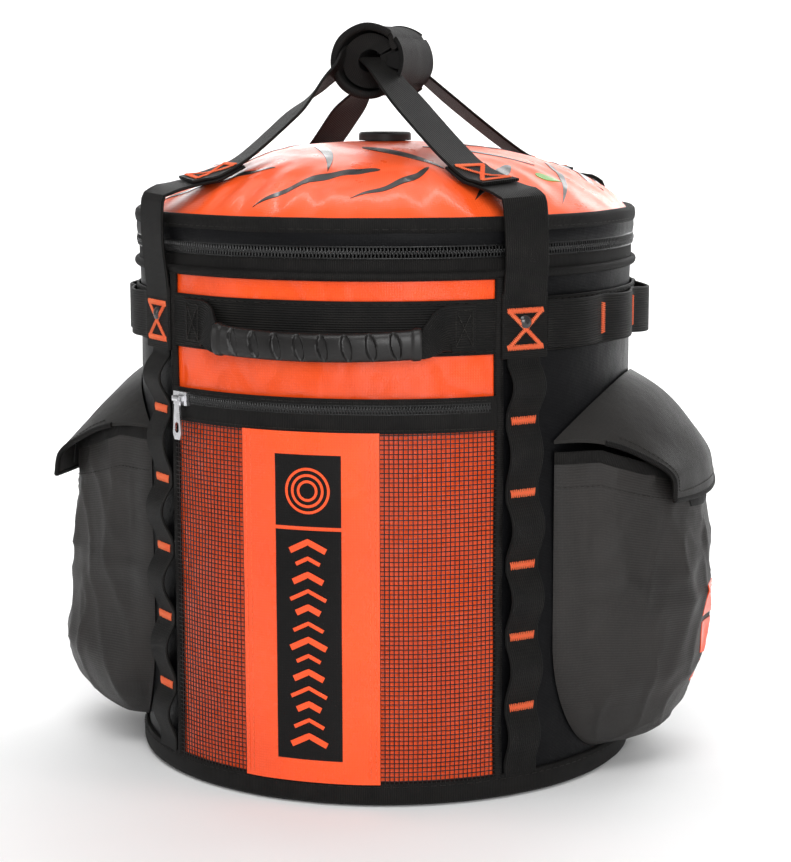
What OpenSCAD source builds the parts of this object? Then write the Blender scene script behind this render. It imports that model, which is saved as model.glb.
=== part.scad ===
// Round rope storage bag: a stiffened fabric drum with a zipped lid, two carry loops that meet
// in a rolled wrap, a moulded front grip, side pouches with flaps and webbing ladders.
// Millimetres, +Z up. The origin is the middle of the base, on the ground. The front faces -Y.
// Angles around the drum are measured from the front, positive towards +X.

/* [Drum] */
// Radius of the drum's outer fabric
drum_r = 170; // [165:1:176]
// Height of the drum's wall, up to the lid zip
wall_top = 345; // [340:1:350]
// Thickness of the outer fabric
skin = 1.8; // [1.2:0.1:2]
// Thickness of the foam lining
foam = 5; // [4:0.5:6]
// Half angle of the coated front panel
panel_half = 39.2; // [36:0.2:40]
// Height of the base binding
base_h = 16; // [12:1:18]

/* [Lid] */
// Height of the middle of the zip above the ground
zip_z = 356; // [354:0.5:357]
// Height of the lid's rim
rim_z = 377; // [374:1:380]
// Rise of the lid's dome above its rim
dome_rise = 44; // [30:1:46]
// Outer radius of the rope port
port_r = 18; // [15:0.5:20]
// Radius of the rope port's bore
port_bore_r = 11; // [8:0.5:13]

/* [Webbing] */
// Lower edge of the upper band
band_z = 291; // [288:1:292]
// Width of the upper band
band_w = 35; // [30:1:36]
// Width of the riser and carry webbing
riser_w = 33; // [28:1:34]
// Width of the ladder webbing
ladder_w = 25; // [20:1:26]
// Thickness of all webbing
web_t = 2; // [1.5:0.1:2.2]
// Distance between two bar tacks of a ladder
tack_pitch = 47; // [44:1:48]

/* [Carry handle] */
// Height of the middle of the wrap
wrap_z = 475; // [470:1:480]
// Outer radius of the wrap
wrap_r = 24; // [22:0.5:25]
// Length of the wrap
wrap_l = 88; // [70:1:96]
// Height at which a riser leans inwards
lean_z = 394; // [390:1:398]

/* [Side pouches] */
// Radius of a pouch in plan
pouch_r = 100; // [96:1:101]
// Distance of the pouch's own middle from the drum's
pouch_x = 129.7; // [128:0.1:131]
// Height of the pouch's mouth where it meets the drum
mouth_z = 226; // [220:1:228]
// Height of the flap's hinge seam
flap_z = 263; // [260:1:265]

/* [Hidden] */
$fn = 96;
gap = 0.4;                                // running gap between pieces that move past each other
lining_r = drum_r - skin;                 // outer radius of the foam lining
inner_r = lining_r - foam;                // clear radius of the main compartment
zip_half = 155;                           // the lid zip runs this far round on each side
corner = 45;                              // angle of the risers and ladders
mesh_r = drum_r + 2;                      // inner radius of the front pocket's face
face_r = mesh_r + 1;                      // outer radius of the front pocket's face
pocket_top = 243;                         // top of the mesh, where the pocket zip begins
pocket_zip_h = 22;                        // height of the pocket's zip strip
label_half = 7.2;                         // half angle of the label on the centre strip
label_z = [30, 229];                      // its lower and upper edge
strip_half = 15.2;                        // half angle of the pocket's centre strip
strip_mid = -2;                           // angle of the middle of the centre strip
tooth_z = 258;                            // height of the pocket zip's teeth
slider_half = 3;                          // half angle taken up by a zip slider
riser_r = drum_r + 8.6;                   // inner radius of the risers beside the lid
riser_foot = band_z + band_w + 5;         // height at which a riser leaves its anchor
riser_step = 5;                           // height over which it moves out to riser_r
dome_base = rim_z - 4;                    // height of the dome's sewn edge
black = [0.11, 0.10, 0.10];
orange = [0.95, 0.33, 0.16];
slate = [0.20, 0.19, 0.19];

// ---- shared shapes ----

// A piece of a tube's wall: radii r1..r2, angles a1..a2 from the front, heights z1..z2.
module sector(r1, r2, a1, a2, z1, z2) {
  rotate([0, 0, a1 - 90])
    rotate_extrude(angle = a2 - a1)
      translate([r1, z1]) square([r2 - r1, z2 - z1]);
}

// A whole ring of rectangular section.
module ring(r1, r2, z1, z2) {
  rotate_extrude() translate([r1, z1]) square([r2 - r1, z2 - z1]);
}

// Turns a child that is drawn at the front to angle a.
module at(a) {
  rotate([0, 0, a]) children();
}

// One webbing arch, drawn in plan: chord c, bulge b, thickness web_t, height h.
module arch(c, b, h) {
  r = (c * c / 4 + b * b) / (2 * b);
  half = asin(c / 2 / r);
  translate([0, r - b, 0])
    rotate([0, 0, -90 - half])
      rotate_extrude(angle = 2 * half) translate([r - web_t, 0]) square([web_t, h]);
}

// ---- base ----

eyelet_at = [for (a = [45 : 90 : 315]) [118 * sin(a), -118 * cos(a)]];

module base_panel() {
  color(black) difference() {
    cylinder(r = drum_r - 4, h = 3);
    for (p = eyelet_at) translate([p[0], p[1], -1]) cylinder(r = 8, h = 5, $fn = 32);
  }
}

module base_stiffener() {
  color("dimgray") difference() {
    translate([0, 0, 3]) cylinder(r = inner_r - 1, h = 4);
    for (p = eyelet_at) translate([p[0], p[1], 2]) cylinder(r = 9, h = 6, $fn = 32);
  }
}

module base_binding() {
  color(black) rotate_extrude() union() {
    translate([drum_r, 4]) square([3, base_h - 4]);
    intersection() {
      translate([drum_r - 1, 4]) circle(r = 4, $fn = 48);
      translate([drum_r - 4, 0]) square([7, 4]);
    }
  }
}

module drain_eyelets() {
  color("silver") for (p = eyelet_at) translate([p[0], p[1], 0]) difference() {
    union() {
      cylinder(r = 8, h = 3, $fn = 32);
      translate([0, 0, 3]) cylinder(r = 8.5, h = 1.2, $fn = 32);
    }
    translate([0, 0, -1]) cylinder(r = 4.5, h = 7, $fn = 32);
  }
}

// ---- drum wall ----

module foam_lining() {
  color("gray") ring(inner_r, lining_r, 4, wall_top - 7);
}

module wall_panel(a1, a2) {
  sector(lining_r, drum_r, a1, a2, 4, wall_top);
}

module front_panel() {
  color(orange) wall_panel(-panel_half, panel_half);
}

module side_panel_right() {
  color(slate) wall_panel(panel_half, 128);
}

module side_panel_left() {
  color(slate) wall_panel(-128, -panel_half);
}

module back_panel() {
  color(black) wall_panel(128, 232);
}

module panel_bindings() {
  color(black) for (s = [-1, 1])
    sector(drum_r, face_r, s * panel_half - 0.9, s * panel_half + 0.9, base_h, band_z);
}

module rim_hoop() {
  color("white") rotate_extrude() translate([lining_r - 3.2, wall_top - 3.6])
    circle(r = 3, $fn = 24);
}

module rim_piping() {
  color(black) rotate_extrude() intersection() {
    translate([drum_r, wall_top - 4]) circle(r = 3, $fn = 32);
    translate([drum_r, wall_top - 8]) square([4, 8]);
  }
}

module body_zip_half() {
  color(black) {
    sector(lining_r, drum_r, -zip_half, zip_half, wall_top, zip_z - gap / 2);
    sector(drum_r, drum_r + 1.5, -zip_half, zip_half, zip_z - 3.5, zip_z - gap / 2);
  }
}

module hinge_strip() {
  color(black)
    sector(lining_r, drum_r, zip_half + 0.3, 359.7 - zip_half, wall_top, zip_z - gap / 2);
}

// ---- webbing on the drum ----

module upper_band() {
  color(black) ring(drum_r, drum_r + web_t, band_z, band_z + band_w);
}

// Gear loops: webbing arches between bar tacks, the third one standing furthest out.
gear_tacks = [52.3, 69, 87.5, 106, 124];
gear_bulge = [3, 4, 11, 6];
tack_half = 1;                            // half angle of a sewn stretch between two gear loops

module gear_loops() {
  seat = drum_r + web_t;
  for (i = [0 : 3]) {
    half = (gear_tacks[i + 1] - gear_tacks[i]) / 2 - tack_half;
    reach = seat + web_t;
    chord = 2 * reach * sin(half);
    at((gear_tacks[i] + gear_tacks[i + 1]) / 2)
      translate([0, -reach * cos(half), band_z + 2])
        arch(chord, reach * (1 - cos(half)) + gear_bulge[i], band_w - 4);
  }
  for (a = gear_tacks)
    sector(seat, seat + web_t + 0.3, a - tack_half - 0.4, a + tack_half + 0.4, band_z + 1.5,
           band_z + band_w - 1.5);
}

module gear_loops_right() {
  color(black) gear_loops();
}

module gear_loops_left() {
  color(black) mirror([1, 0, 0]) gear_loops();
}

// Webbing ladder: shallow arches up the wall, sewn flat to it at each bar tack.
tacks = [base_h + 3, for (k = [0 : 4]) base_h + 44 + k * tack_pitch, band_z - 3];
tack_h = 6;
ladder_bulge = 4;

module ladder() {
  for (i = [0 : len(tacks) - 2]) {
    chord = tacks[i + 1] - tacks[i] - tack_h + 0.4;
    translate([ladder_w / 2, -drum_r - web_t, (tacks[i] + tacks[i + 1]) / 2])
      rotate([0, -90, 0]) arch(chord, ladder_bulge, ladder_w);
  }
  for (z = tacks)
    translate([-ladder_w / 2, -drum_r - web_t, z - tack_h / 2]) cube([ladder_w, web_t, tack_h]);
}

module ladder_front_right() {
  color(black) at(corner) ladder();
}

module ladder_front_left() {
  color(black) at(-corner) ladder();
}

module ladder_back_right() {
  color(black) at(180 - corner) ladder();
}

module ladder_back_left() {
  color(black) at(180 + corner) ladder();
}

// Four anchors: the doubled webbing sewn to the band under each riser, with a rivet through it.
corners = [corner, 180 - corner, 180 + corner, -corner];
anchor_half = 5.5;
anchor_out = drum_r + 2 * web_t;
rivet_z = band_z + band_w * 0.56;

module strap_anchors() {
  color(black) for (a = corners) difference() {
    sector(drum_r + web_t, anchor_out, a - anchor_half, a + anchor_half, band_z, riser_foot - gap);
    at(a) translate([0, -drum_r, rivet_z]) rotate([90, 0, 0]) cylinder(r = 2, h = 8, $fn = 32);
  }
}

module strap_rivets() {
  head_r = 5;
  dome_r = 6.1;
  color("dimgray") for (a = corners) at(a) translate([0, -anchor_out, rivet_z]) rotate([90, 0, 0])
    union() {
      rotate_extrude($fn = 48) intersection() {
        translate([0, -sqrt(dome_r * dome_r - head_r * head_r)]) circle(r = dome_r, $fn = 64);
        square([head_r + 1, 6]);
      }
      translate([0, 0, -web_t]) cylinder(r = 2, h = web_t + 0.5, $fn = 32);
    }
}

// ---- front pocket ----

pocket_half = panel_half - 0.9;           // the pocket's face ends at the panel's bindings

module front_mesh() {
  color([0.45, 0.16, 0.10])
    sector(mesh_r, face_r, -pocket_half, pocket_half, base_h, pocket_top);
}

module centre_strip() {
  color(orange)
    sector(face_r, face_r + 0.8, strip_mid - strip_half, strip_mid + strip_half, base_h, pocket_top);
}

module centre_label() {
  color(black)
    sector(face_r + 0.8, face_r + 1.2, strip_mid - label_half, strip_mid + label_half, label_z[0],
           label_z[1]);
}

module pocket_zip_tape() {
  top = pocket_top + pocket_zip_h;
  color(black) union() {
    sector(mesh_r, face_r, -pocket_half, pocket_half, pocket_top, top);
    sector(drum_r, mesh_r, -pocket_half, pocket_half, top - 3, top);
  }
}

module pocket_zip_teeth() {
  color("dimgray") sector(face_r, face_r + 1.3, -pocket_half + 1, pocket_half - 1, tooth_z - 1.6,
                          tooth_z + 1.6);
}

// A zip slider at the front: a plate over the teeth, side flanges, and lugs with a pin for the pull.
module slider(plate_r, tooth_half, flange_r, upper_flange) {
  width = 2 * plate_r * sin(slider_half - 0.6);
  translate([-width / 2, -plate_r - 1.8, -tooth_half - 2.4])
    cube([width, 1.8, 2 * tooth_half + (upper_flange ? 4.8 : 3.4)]);
  for (s = upper_flange ? [-1, 1] : [-1])
    translate([-width / 2, -plate_r, s * (tooth_half + 1.5) - 0.9])
      cube([width, plate_r - flange_r, 1.8]);
  for (s = [-1, 1])
    translate([s * 3.7 - 0.6, -plate_r - 5.2, -1.7]) cube([1.2, 3.5, 3.4]);
  translate([-3.9, -plate_r - 3.9, 0]) rotate([0, 90, 0]) cylinder(r = 1.1, h = 7.8, $fn = 32);
}

// A hanging zip pull: an eye round the slider's pin, and a tapered plate with an oval hole.
module pull(plate_r, drop) {
  eye_w = 5.4;
  translate([0, -plate_r - 3.9, 0]) difference() {
    union() {
      translate([-eye_w / 2, 0, 0]) rotate([0, 90, 0]) cylinder(r = 2, h = eye_w, $fn = 32);
      rotate([90, 0, 0]) translate([0, 0, -0.7]) linear_extrude(1.4)
        polygon([[-2.4, -1.8], [2.4, -1.8], [4.4, -drop + 4], [2.8, -drop], [-2.8, -drop],
                 [-4.4, -drop + 4]]);
    }
    translate([-eye_w, 0, 0]) rotate([0, 90, 0]) cylinder(r = 1.18, h = 2 * eye_w, $fn = 32);
    translate([0, 3, -drop + 6.5]) rotate([90, 0, 0]) cylinder(r = 2, h = 6, $fn = 32);
    translate([0, 3, -drop + 9.5]) rotate([90, 0, 0]) cylinder(r = 2, h = 6, $fn = 32);
    translate([-2, -3, -drop + 6.5]) cube([4, 6, 3]);
  }
}

pocket_slider_at = -34.8;
pocket_plate_r = face_r + 1.3 + gap;

module pocket_slider() {
  color("silver") at(pocket_slider_at) translate([0, 0, tooth_z])
    slider(pocket_plate_r, 1.6 + gap, face_r + 0.3, true);
}

module pocket_pull() {
  color("silver") at(pocket_slider_at) translate([0, 0, tooth_z]) pull(pocket_plate_r, 27);
}

// ---- moulded front grip ----

grip_half = 21.6;
grip_in = drum_r + 7;
grip_out = drum_r + 17;
grip_z1 = 290;
grip_z2 = 311;
tab_half = [27.4, 34.5];

module grip_tabs() {
  color(black) for (s = [-1, 1])
    sector(drum_r + web_t, anchor_out, min(s * tab_half[0], s * tab_half[1]),
           max(s * tab_half[0], s * tab_half[1]), band_z + 2, band_z + band_w - 2);
}

module grip_core() {
  color(black) sector(grip_in + 4, grip_in + 6, -grip_half - 4.4, grip_half + 4.4, grip_z1 + 4,
                      grip_z2 - 4);
}

module front_grip() {
  grooves = 8;
  color(black) difference() {
    sector(grip_in, grip_out, -grip_half, grip_half, grip_z1, grip_z2);
    sector(grip_in + 4, grip_in + 6, -grip_half - 5, grip_half + 5, grip_z1 + 4, grip_z2 - 4);
    for (i = [0 : grooves - 1])
      at((i - (grooves - 1) / 2) * 2 * (grip_half - 2.5) / grooves)
        translate([0, -grip_out - 3, grip_z1 - 1]) cylinder(r = 4.6, h = grip_z2 - grip_z1 + 2,
                                                            $fn = 32);
  }
}

// ---- side pouches ----

belly_z = 100;                            // below this height a pouch's wall curves in
belly_in = 40;                            // how far it curves in at the bottom
mouth_slope = 19.3;                       // how steeply the mouth falls away from the drum
flap_hinge_x = drum_r + 4;
flap_slope = 39;
flap_t = 3;
flap_y = 72;                              // half width of a flap
lip_r = pouch_r + 2;                      // inner radius of a flap's hanging lip
lip_z = 182;                              // lower edge of the lip
tape_top = 203;                           // upper edge of the closing tapes

// Half outline of a pouch, drawn in by inset.
function belly(inset) = [
  [0, base_h + inset],
  for (i = [0 : 12]) let (a = i * 90 / 12)
    [pouch_r - belly_in - inset + belly_in * sin(a),
     belly_z - (belly_z - base_h - inset) * cos(a)],
  [pouch_r - inset, 240],
  [0, 240]
];

module pouch() {
  difference() {
    translate([pouch_x, 0, 0]) rotate_extrude() difference() {
      polygon(belly(0));
      polygon([for (p = belly(2)) p[1] == 240 ? [p[0], 250] : p]);
    }
    cylinder(r = drum_r, h = 300);
    translate([drum_r, -150, mouth_z]) rotate([0, mouth_slope, 0]) translate([-120, 0, 0])
      cube([300, 300, 100]);
    cylinder(r = face_r + gap, h = base_h + 1);
  }
}

module pouch_right() {
  color(slate) pouch();
}

module pouch_left() {
  color(slate) mirror([1, 0, 0]) pouch();
}

// Loop tape on the pouch and hook tape in the flap, facing each other across a running gap.
module closing_tape(r, z1, z2) {
  translate([pouch_x, 0, 0]) sector(r, r + 0.8, 78, 102, z1, z2);
}

module pouch_tapes() {
  color("dimgray") for (m = [0, 1]) mirror([m, 0, 0]) closing_tape(pouch_r, lip_z - 2, tape_top);
}

module flap_tape_right() {
  color("dimgray") closing_tape(lip_r - 0.8, lip_z + 2, tape_top);
}

module flap_tape_left() {
  mirror([1, 0, 0]) flap_tape_right();
}

module flap() {
  outer_r = lip_r + 2.6;
  difference() {
    intersection() {
      translate([pouch_x, 0, lip_z]) cylinder(r = outer_r, h = flap_z + 2 - lip_z);
      translate([flap_hinge_x, -flap_y, 0]) cube([200, 2 * flap_y, 300]);
    }
    translate([flap_hinge_x, -150, flap_z]) rotate([0, flap_slope, 0]) translate([-50, 0, 0])
      cube([300, 300, 100]);
    intersection() {
      translate([pouch_x, 0, 0]) cylinder(r = lip_r, h = 300);
      translate([flap_hinge_x, -150, flap_z]) rotate([0, flap_slope, 0])
        translate([-80, 0, -200 - flap_t]) cube([300, 300, 200]);
    }
  }
}

module flap_right() {
  color(slate) flap();
}

module flap_left() {
  color(slate) mirror([1, 0, 0]) flap();
}

// ---- inside and back ----

module inner_tie_loops() {
  color("dimgray") for (a = [90, 270])
    at(a) translate([0, -inner_r + 2.45, 40]) mirror([0, 1, 0]) arch(44, 12, 20);
}

pad_half = 30;
shoulder_at = 16;                         // each shoulder strap lies this far from the back's middle
shoulder_half = 7;
shoulder_in = drum_r + 10.5;

module back_pad() {
  color([0.16, 0.16, 0.16])
    sector(drum_r, drum_r + 10, 180 - pad_half, 180 + pad_half, 40, band_z - 4);
}

module shoulder_strap(a) {
  sector(shoulder_in, shoulder_in + 8, a - shoulder_half, a + shoulder_half, 108, band_z - 1);
  sector(drum_r + web_t, shoulder_in + 8, a - shoulder_half + 1, a + shoulder_half - 1, band_z - 3.5,
         band_z);
  sector(drum_r + web_t, anchor_out, a - shoulder_half + 1, a + shoulder_half - 1, band_z - 1,
         band_z + band_w - 4);
}

module shoulder_straps() {
  color([0.16, 0.16, 0.16]) for (s = [-1, 1]) shoulder_strap(180 + s * shoulder_at);
}

module ladder_locks() {
  mid = shoulder_in + 4;
  color(black) for (s = [-1, 1]) difference() {
    sector(mid - 2, mid + 2, 180 + s * shoulder_at - 5.5, 180 + s * shoulder_at + 5.5, 84, 108);
    for (z = [88, 98])
      sector(mid - 3, mid + 3, 180 + s * shoulder_at - 4.1, 180 + s * shoulder_at + 4.1, z, z + 5);
  }
}

// The lower webbing of a shoulder strap: sewn to the wall at its foot, looped round its buckle's bar.
module lower_web(a) {
  mid = shoulder_in + 4;
  web_half = 4;
  sector(mid - 1, mid + 1, a - web_half, a + web_half, 24, 83);
  sector(drum_r, mid, a - web_half, a + web_half, 24, 34);
  difference() {
    sector(mid - 4.4, mid + 4.4, a - web_half, a + web_half, 81.8, 90.2);
    sector(mid - 2.4, mid + 2.4, a - web_half - 1, a + web_half + 1, 83.8, 88.2);
  }
}

module lower_webs() {
  color(black) for (s = [-1, 1]) lower_web(180 + s * shoulder_at);
}

// ---- lid ----

module lid_gusset() {
  color(black) ring(lining_r, drum_r, zip_z + gap / 2, rim_z - 9);
}

module lid_zip_half() {
  color(black)
    sector(drum_r, drum_r + 1.5, -zip_half, zip_half, zip_z + gap / 2, zip_z + 4.5);
}

module lid_binding() {
  color(black) ring(lining_r, drum_r + 2, rim_z - 9, rim_z);
}

module lid_hoop() {
  color("white") ring(lining_r - 6, lining_r, zip_z + 2, rim_z - 6.2);
}

// Height of the dome's outer face at radius r: full in the middle, steep at its sewn edge.
function dome_z(r) = dome_base + (rim_z + dome_rise - dome_base)
                     * pow(max(0, 1 - pow(r / lining_r, 2.4)), 0.8);

// A domed sheet from radius r1 to r2, its upper face drop below the dome and t thick.
module dome_sheet(r1, r2, drop, t) {
  steps = 20;
  radii = [for (i = [0 : steps]) r1 + (r2 - r1) * sin(i * 90 / steps)];
  rotate_extrude($fn = 128) polygon(concat(
    [for (r = radii) [r, dome_z(r) - drop]],
    [for (i = [steps : -1 : 0]) [radii[i], dome_z(radii[i]) - drop - t]]
  ));
}

neck_r = port_r - 4;                      // outer radius of the port's neck through the dome

module lid_dome() {
  color(orange) dome_sheet(neck_r, lining_r, 0, 2);
}

module lid_lining() {
  color("gray") dome_sheet(neck_r, lining_r - 2.5, 2.2, 1.2);
}

module rope_port() {
  top = rim_z + dome_rise;
  color(black) rotate_extrude() difference() {
    union() {
      translate([0, top - 7]) square([neck_r, 8]);
      translate([0, top + 0.3]) square([port_r - 2, 5.7]);
      translate([0, top + 0.3]) square([port_r, 3.7]);
      intersection() {
        translate([port_r - 2, top + 4]) circle(r = 2, $fn = 48);
        translate([0, top + 3]) square([port_r, 5]);
      }
    }
    translate([-1, top - 8]) square([port_bore_r + 1, 20]);
  }
}

lid_slider_at = 150;
lid_plate_r = drum_r + 1.5 + 1;

module lid_slider() {
  color("silver") at(lid_slider_at) translate([0, 0, zip_z])
    slider(lid_plate_r, 3.5 + gap, drum_r + 0.4, false);
}

module lid_pull() {
  color("silver") at(lid_slider_at) translate([0, 0, zip_z]) pull(lid_plate_r, 19);
}

// ---- carry loops ----

second_x = [88, 100, 403];                // where the carry webbing is sewn onto a riser
strap_in = 22;                            // width of the carry webbing inside the wrap

// A riser at the front: up past the lid at a distance, in the plane of its corner.
module riser_upright() {
  foot = drum_r + web_t + gap;
  rotate([90, 0, 90]) translate([0, 0, -riser_w / 2]) linear_extrude(riser_w)
    polygon([[-foot, riser_foot], [-foot - web_t, riser_foot],
             [-riser_r - web_t, riser_foot + riser_step], [-riser_r - web_t, lean_z],
             [-riser_r, lean_z], [-riser_r, riser_foot + riser_step]]);
}

// A thin slice across a strap, for hulls: at p, its width turned by turn and its face tilted.
// With on_edge its width stands upright.
module slice(p, width, turn, tilt, on_edge = false) {
  translate(p) rotate([0, 0, turn]) rotate([tilt, on_edge ? 90 : 0, 0])
    cube([width, 1, web_t], center = true);
}

// The riser's leaning end, for the front corner on the +X side.
module riser_lean() {
  top_r = riser_r + web_t / 2;
  hull() {
    slice([top_r * sin(corner), -top_r * cos(corner), lean_z - 1.2], riser_w - 0.6, corner, 62);
    slice([second_x[0] - 8, -second_x[1] + 5, second_x[2] + 3], riser_w - 0.6, corner - 3, 22);
  }
}

// Both risers of the loop on the +X side.
module risers() {
  for (m = [0, 1]) mirror([0, m, 0]) {
    at(corner) riser_upright();
    riser_lean();
  }
}

module risers_right() {
  color(black) risers();
}

module risers_left() {
  color(black) mirror([1, 0, 0]) risers();
}

// Carry webbing of the loop on the +X side: from the second seam, through the wrap and down again.
// Inside the wrap it lies flat or stands on edge, with its middle at x = mid[0], z = mid[1].
module carry_strap(mid, on_edge) {
  start = [second_x[0] - 20, -second_x[1] + 14, second_x[2] + 15];
  for (m = [0, 1]) mirror([0, m, 0]) {
    hull() {
      slice([second_x[0] + 3, -second_x[1] - 2, second_x[2] + web_t + 2.2], riser_w - 3, corner, 22);
      slice(start, riser_w - 4, corner, 35);
    }
    hull() {
      slice(start, riser_w - 4, corner, 35);
      slice([mid[0], -wrap_l / 2 - 3, mid[1]], strap_in, 0, 0, on_edge);
    }
  }
  translate([mid[0], 0, mid[1]]) rotate([0, on_edge ? 90 : 0, 0])
    cube([strap_in, wrap_l + 6, web_t], center = true);
}

left_mid = [17, wrap_z - 2];
right_mid = [4, wrap_z];

module carry_strap_right() {
  color(black) carry_strap(right_mid, false);
}

module carry_strap_left() {
  color(black) mirror([1, 0, 0]) carry_strap(left_mid, true);
}

core_r = 13.5;                            // the rolled core round the right loop's webbing

module wrap_inner() {
  color([0.16, 0.15, 0.15]) difference() {
    translate([right_mid[0], wrap_l / 2 - 1, right_mid[1]]) rotate([90, 0, 0])
      cylinder(r = core_r, h = wrap_l - 2);
    translate([right_mid[0] - strap_in / 2, -wrap_l, right_mid[1] - web_t / 2])
      cube([strap_in, 2 * wrap_l, web_t]);
  }
}

// The sleeve on the left loop: it hooks over the core and is open towards the right loop.
module wrap_outer() {
  seat = core_r + 0.7;
  color([0.16, 0.15, 0.15]) difference() {
    translate([0, wrap_l / 2, wrap_z]) rotate([90, 0, 0]) cylinder(r = wrap_r, h = wrap_l);
    translate([right_mid[0], wrap_l, right_mid[1]]) rotate([90, 0, 0])
      cylinder(r = seat, h = 2 * wrap_l);
    translate([0, wrap_l, wrap_z]) rotate([90, 0, 0]) linear_extrude(2 * wrap_l)
      polygon([[right_mid[0], -seat], [wrap_r + 2, -seat - 5], [wrap_r + 2, seat + 5],
               [right_mid[0], seat]]);
    translate([-left_mid[0], 0, left_mid[1]])
      cube([web_t, 2 * wrap_l, strap_in], center = true);
  }
}

base_panel();
base_stiffener();
base_binding();
drain_eyelets();
foam_lining();
front_panel();
side_panel_right();
side_panel_left();
back_panel();
panel_bindings();
rim_hoop();
rim_piping();
body_zip_half();
hinge_strip();
upper_band();
gear_loops_right();
gear_loops_left();
ladder_front_right();
ladder_front_left();
ladder_back_right();
ladder_back_left();
strap_anchors();
strap_rivets();
front_mesh();
centre_strip();
centre_label();
pocket_zip_tape();
pocket_zip_teeth();
pocket_slider();
pocket_pull();
grip_tabs();
grip_core();
front_grip();
pouch_right();
pouch_left();
pouch_tapes();
flap_right();
flap_left();
flap_tape_right();
flap_tape_left();
inner_tie_loops();
back_pad();
shoulder_straps();
ladder_locks();
lower_webs();
lid_gusset();
lid_zip_half();
lid_binding();
lid_hoop();
lid_dome();
lid_lining();
rope_port();
lid_slider();
lid_pull();
risers_right();
risers_left();
carry_strap_right();
carry_strap_left();
wrap_inner();
wrap_outer();
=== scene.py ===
"""Looks of the round rope storage bag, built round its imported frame.

Shapes are worked out in millimetres and written to Blender in metres. Angles around the drum are in degrees
from the front (-Y), positive towards +X. A piece's UV map holds millimetres along and across its fabric.
"""
import math
import random
import bmesh
import bpy
from mathutils import Matrix, Vector, noise


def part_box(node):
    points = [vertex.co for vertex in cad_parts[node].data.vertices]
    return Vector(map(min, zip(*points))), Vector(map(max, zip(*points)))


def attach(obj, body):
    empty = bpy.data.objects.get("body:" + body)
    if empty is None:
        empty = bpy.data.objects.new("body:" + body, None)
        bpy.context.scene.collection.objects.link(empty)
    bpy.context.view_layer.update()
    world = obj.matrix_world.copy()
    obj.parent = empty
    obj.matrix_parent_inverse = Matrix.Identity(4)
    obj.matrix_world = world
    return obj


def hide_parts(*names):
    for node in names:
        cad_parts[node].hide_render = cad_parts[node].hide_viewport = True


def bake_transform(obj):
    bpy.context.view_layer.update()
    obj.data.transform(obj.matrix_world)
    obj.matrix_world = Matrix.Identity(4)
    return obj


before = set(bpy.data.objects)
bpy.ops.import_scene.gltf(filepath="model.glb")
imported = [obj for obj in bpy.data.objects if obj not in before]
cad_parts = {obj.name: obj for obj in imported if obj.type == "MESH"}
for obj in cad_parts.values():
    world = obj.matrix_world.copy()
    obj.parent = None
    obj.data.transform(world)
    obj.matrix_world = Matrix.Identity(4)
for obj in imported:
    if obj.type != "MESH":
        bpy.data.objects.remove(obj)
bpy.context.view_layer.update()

MM = 0.001

# ---- sizes, read from the frame


def low(node, axis):
    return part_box(node)[0][axis] / MM


def high(node, axis):
    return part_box(node)[1][axis] / MM


DRUM_R = -low("front_panel", 1)
BAND_Z = low("upper_band", 2)
BAND_TOP = high("upper_band", 2)
BAND_MID = (BAND_Z + BAND_TOP) / 2
BAND_R = high("upper_band", 0)
BASE_H = high("base_binding", 2)
PIPING_Z = (low("rim_piping", 2) + high("rim_piping", 2)) / 2
ZIP_Z = high("body_zip_half", 2) + 0.2
RIM_Z = high("lid_binding", 2)
DOME_TOP = high("lid_dome", 2)
WRAP_Z = (low("wrap_outer", 2) + high("wrap_outer", 2)) / 2
WRAP_L = high("wrap_outer", 1) - low("wrap_outer", 1)
WRAP_R = (high("wrap_outer", 2) - low("wrap_outer", 2)) / 2
POUCH_R = (high("pouch_right", 1) - low("pouch_right", 1)) / 2
POUCH_X = high("pouch_right", 0) - POUCH_R
LEAN_Z = 394.0
RISER_R = DRUM_R + 9.6
RISER_W = 33.0
LADDER_W = 25.0
WEB_T = 2.0
CORNER = 45.0
PANEL_HALF = 39.2
ZIP_HALF = 155.0
MESH_R = DRUM_R + 2.6
POCKET_TOP = high("front_mesh", 2)
POCKET_ZIP_TOP = high("pocket_zip_tape", 2)
TOOTH_Z = (low("pocket_zip_teeth", 2) + high("pocket_zip_teeth", 2)) / 2
STRIP_MID = -2.0
STRIP_HALF = 15.2
TACK_PITCH = 47.0
TACKS = [BASE_H + 3] + [BASE_H + 44 + k * TACK_PITCH for k in range(5)] + [BAND_Z - 3]
GEAR_TACKS = [52.3, 69.0, 87.5, 106.0, 124.0]
GEAR_BULGE = [3.0, 4.5, 8.5, 5.0]
SEAM_X = Vector((90.5, -103.5, 398.9))
SHOULDER_AT = 16.0
SIDES = ((1, "right"), (-1, "left"))
UP = Vector((0, 0, 1))

# ---- materials


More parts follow.
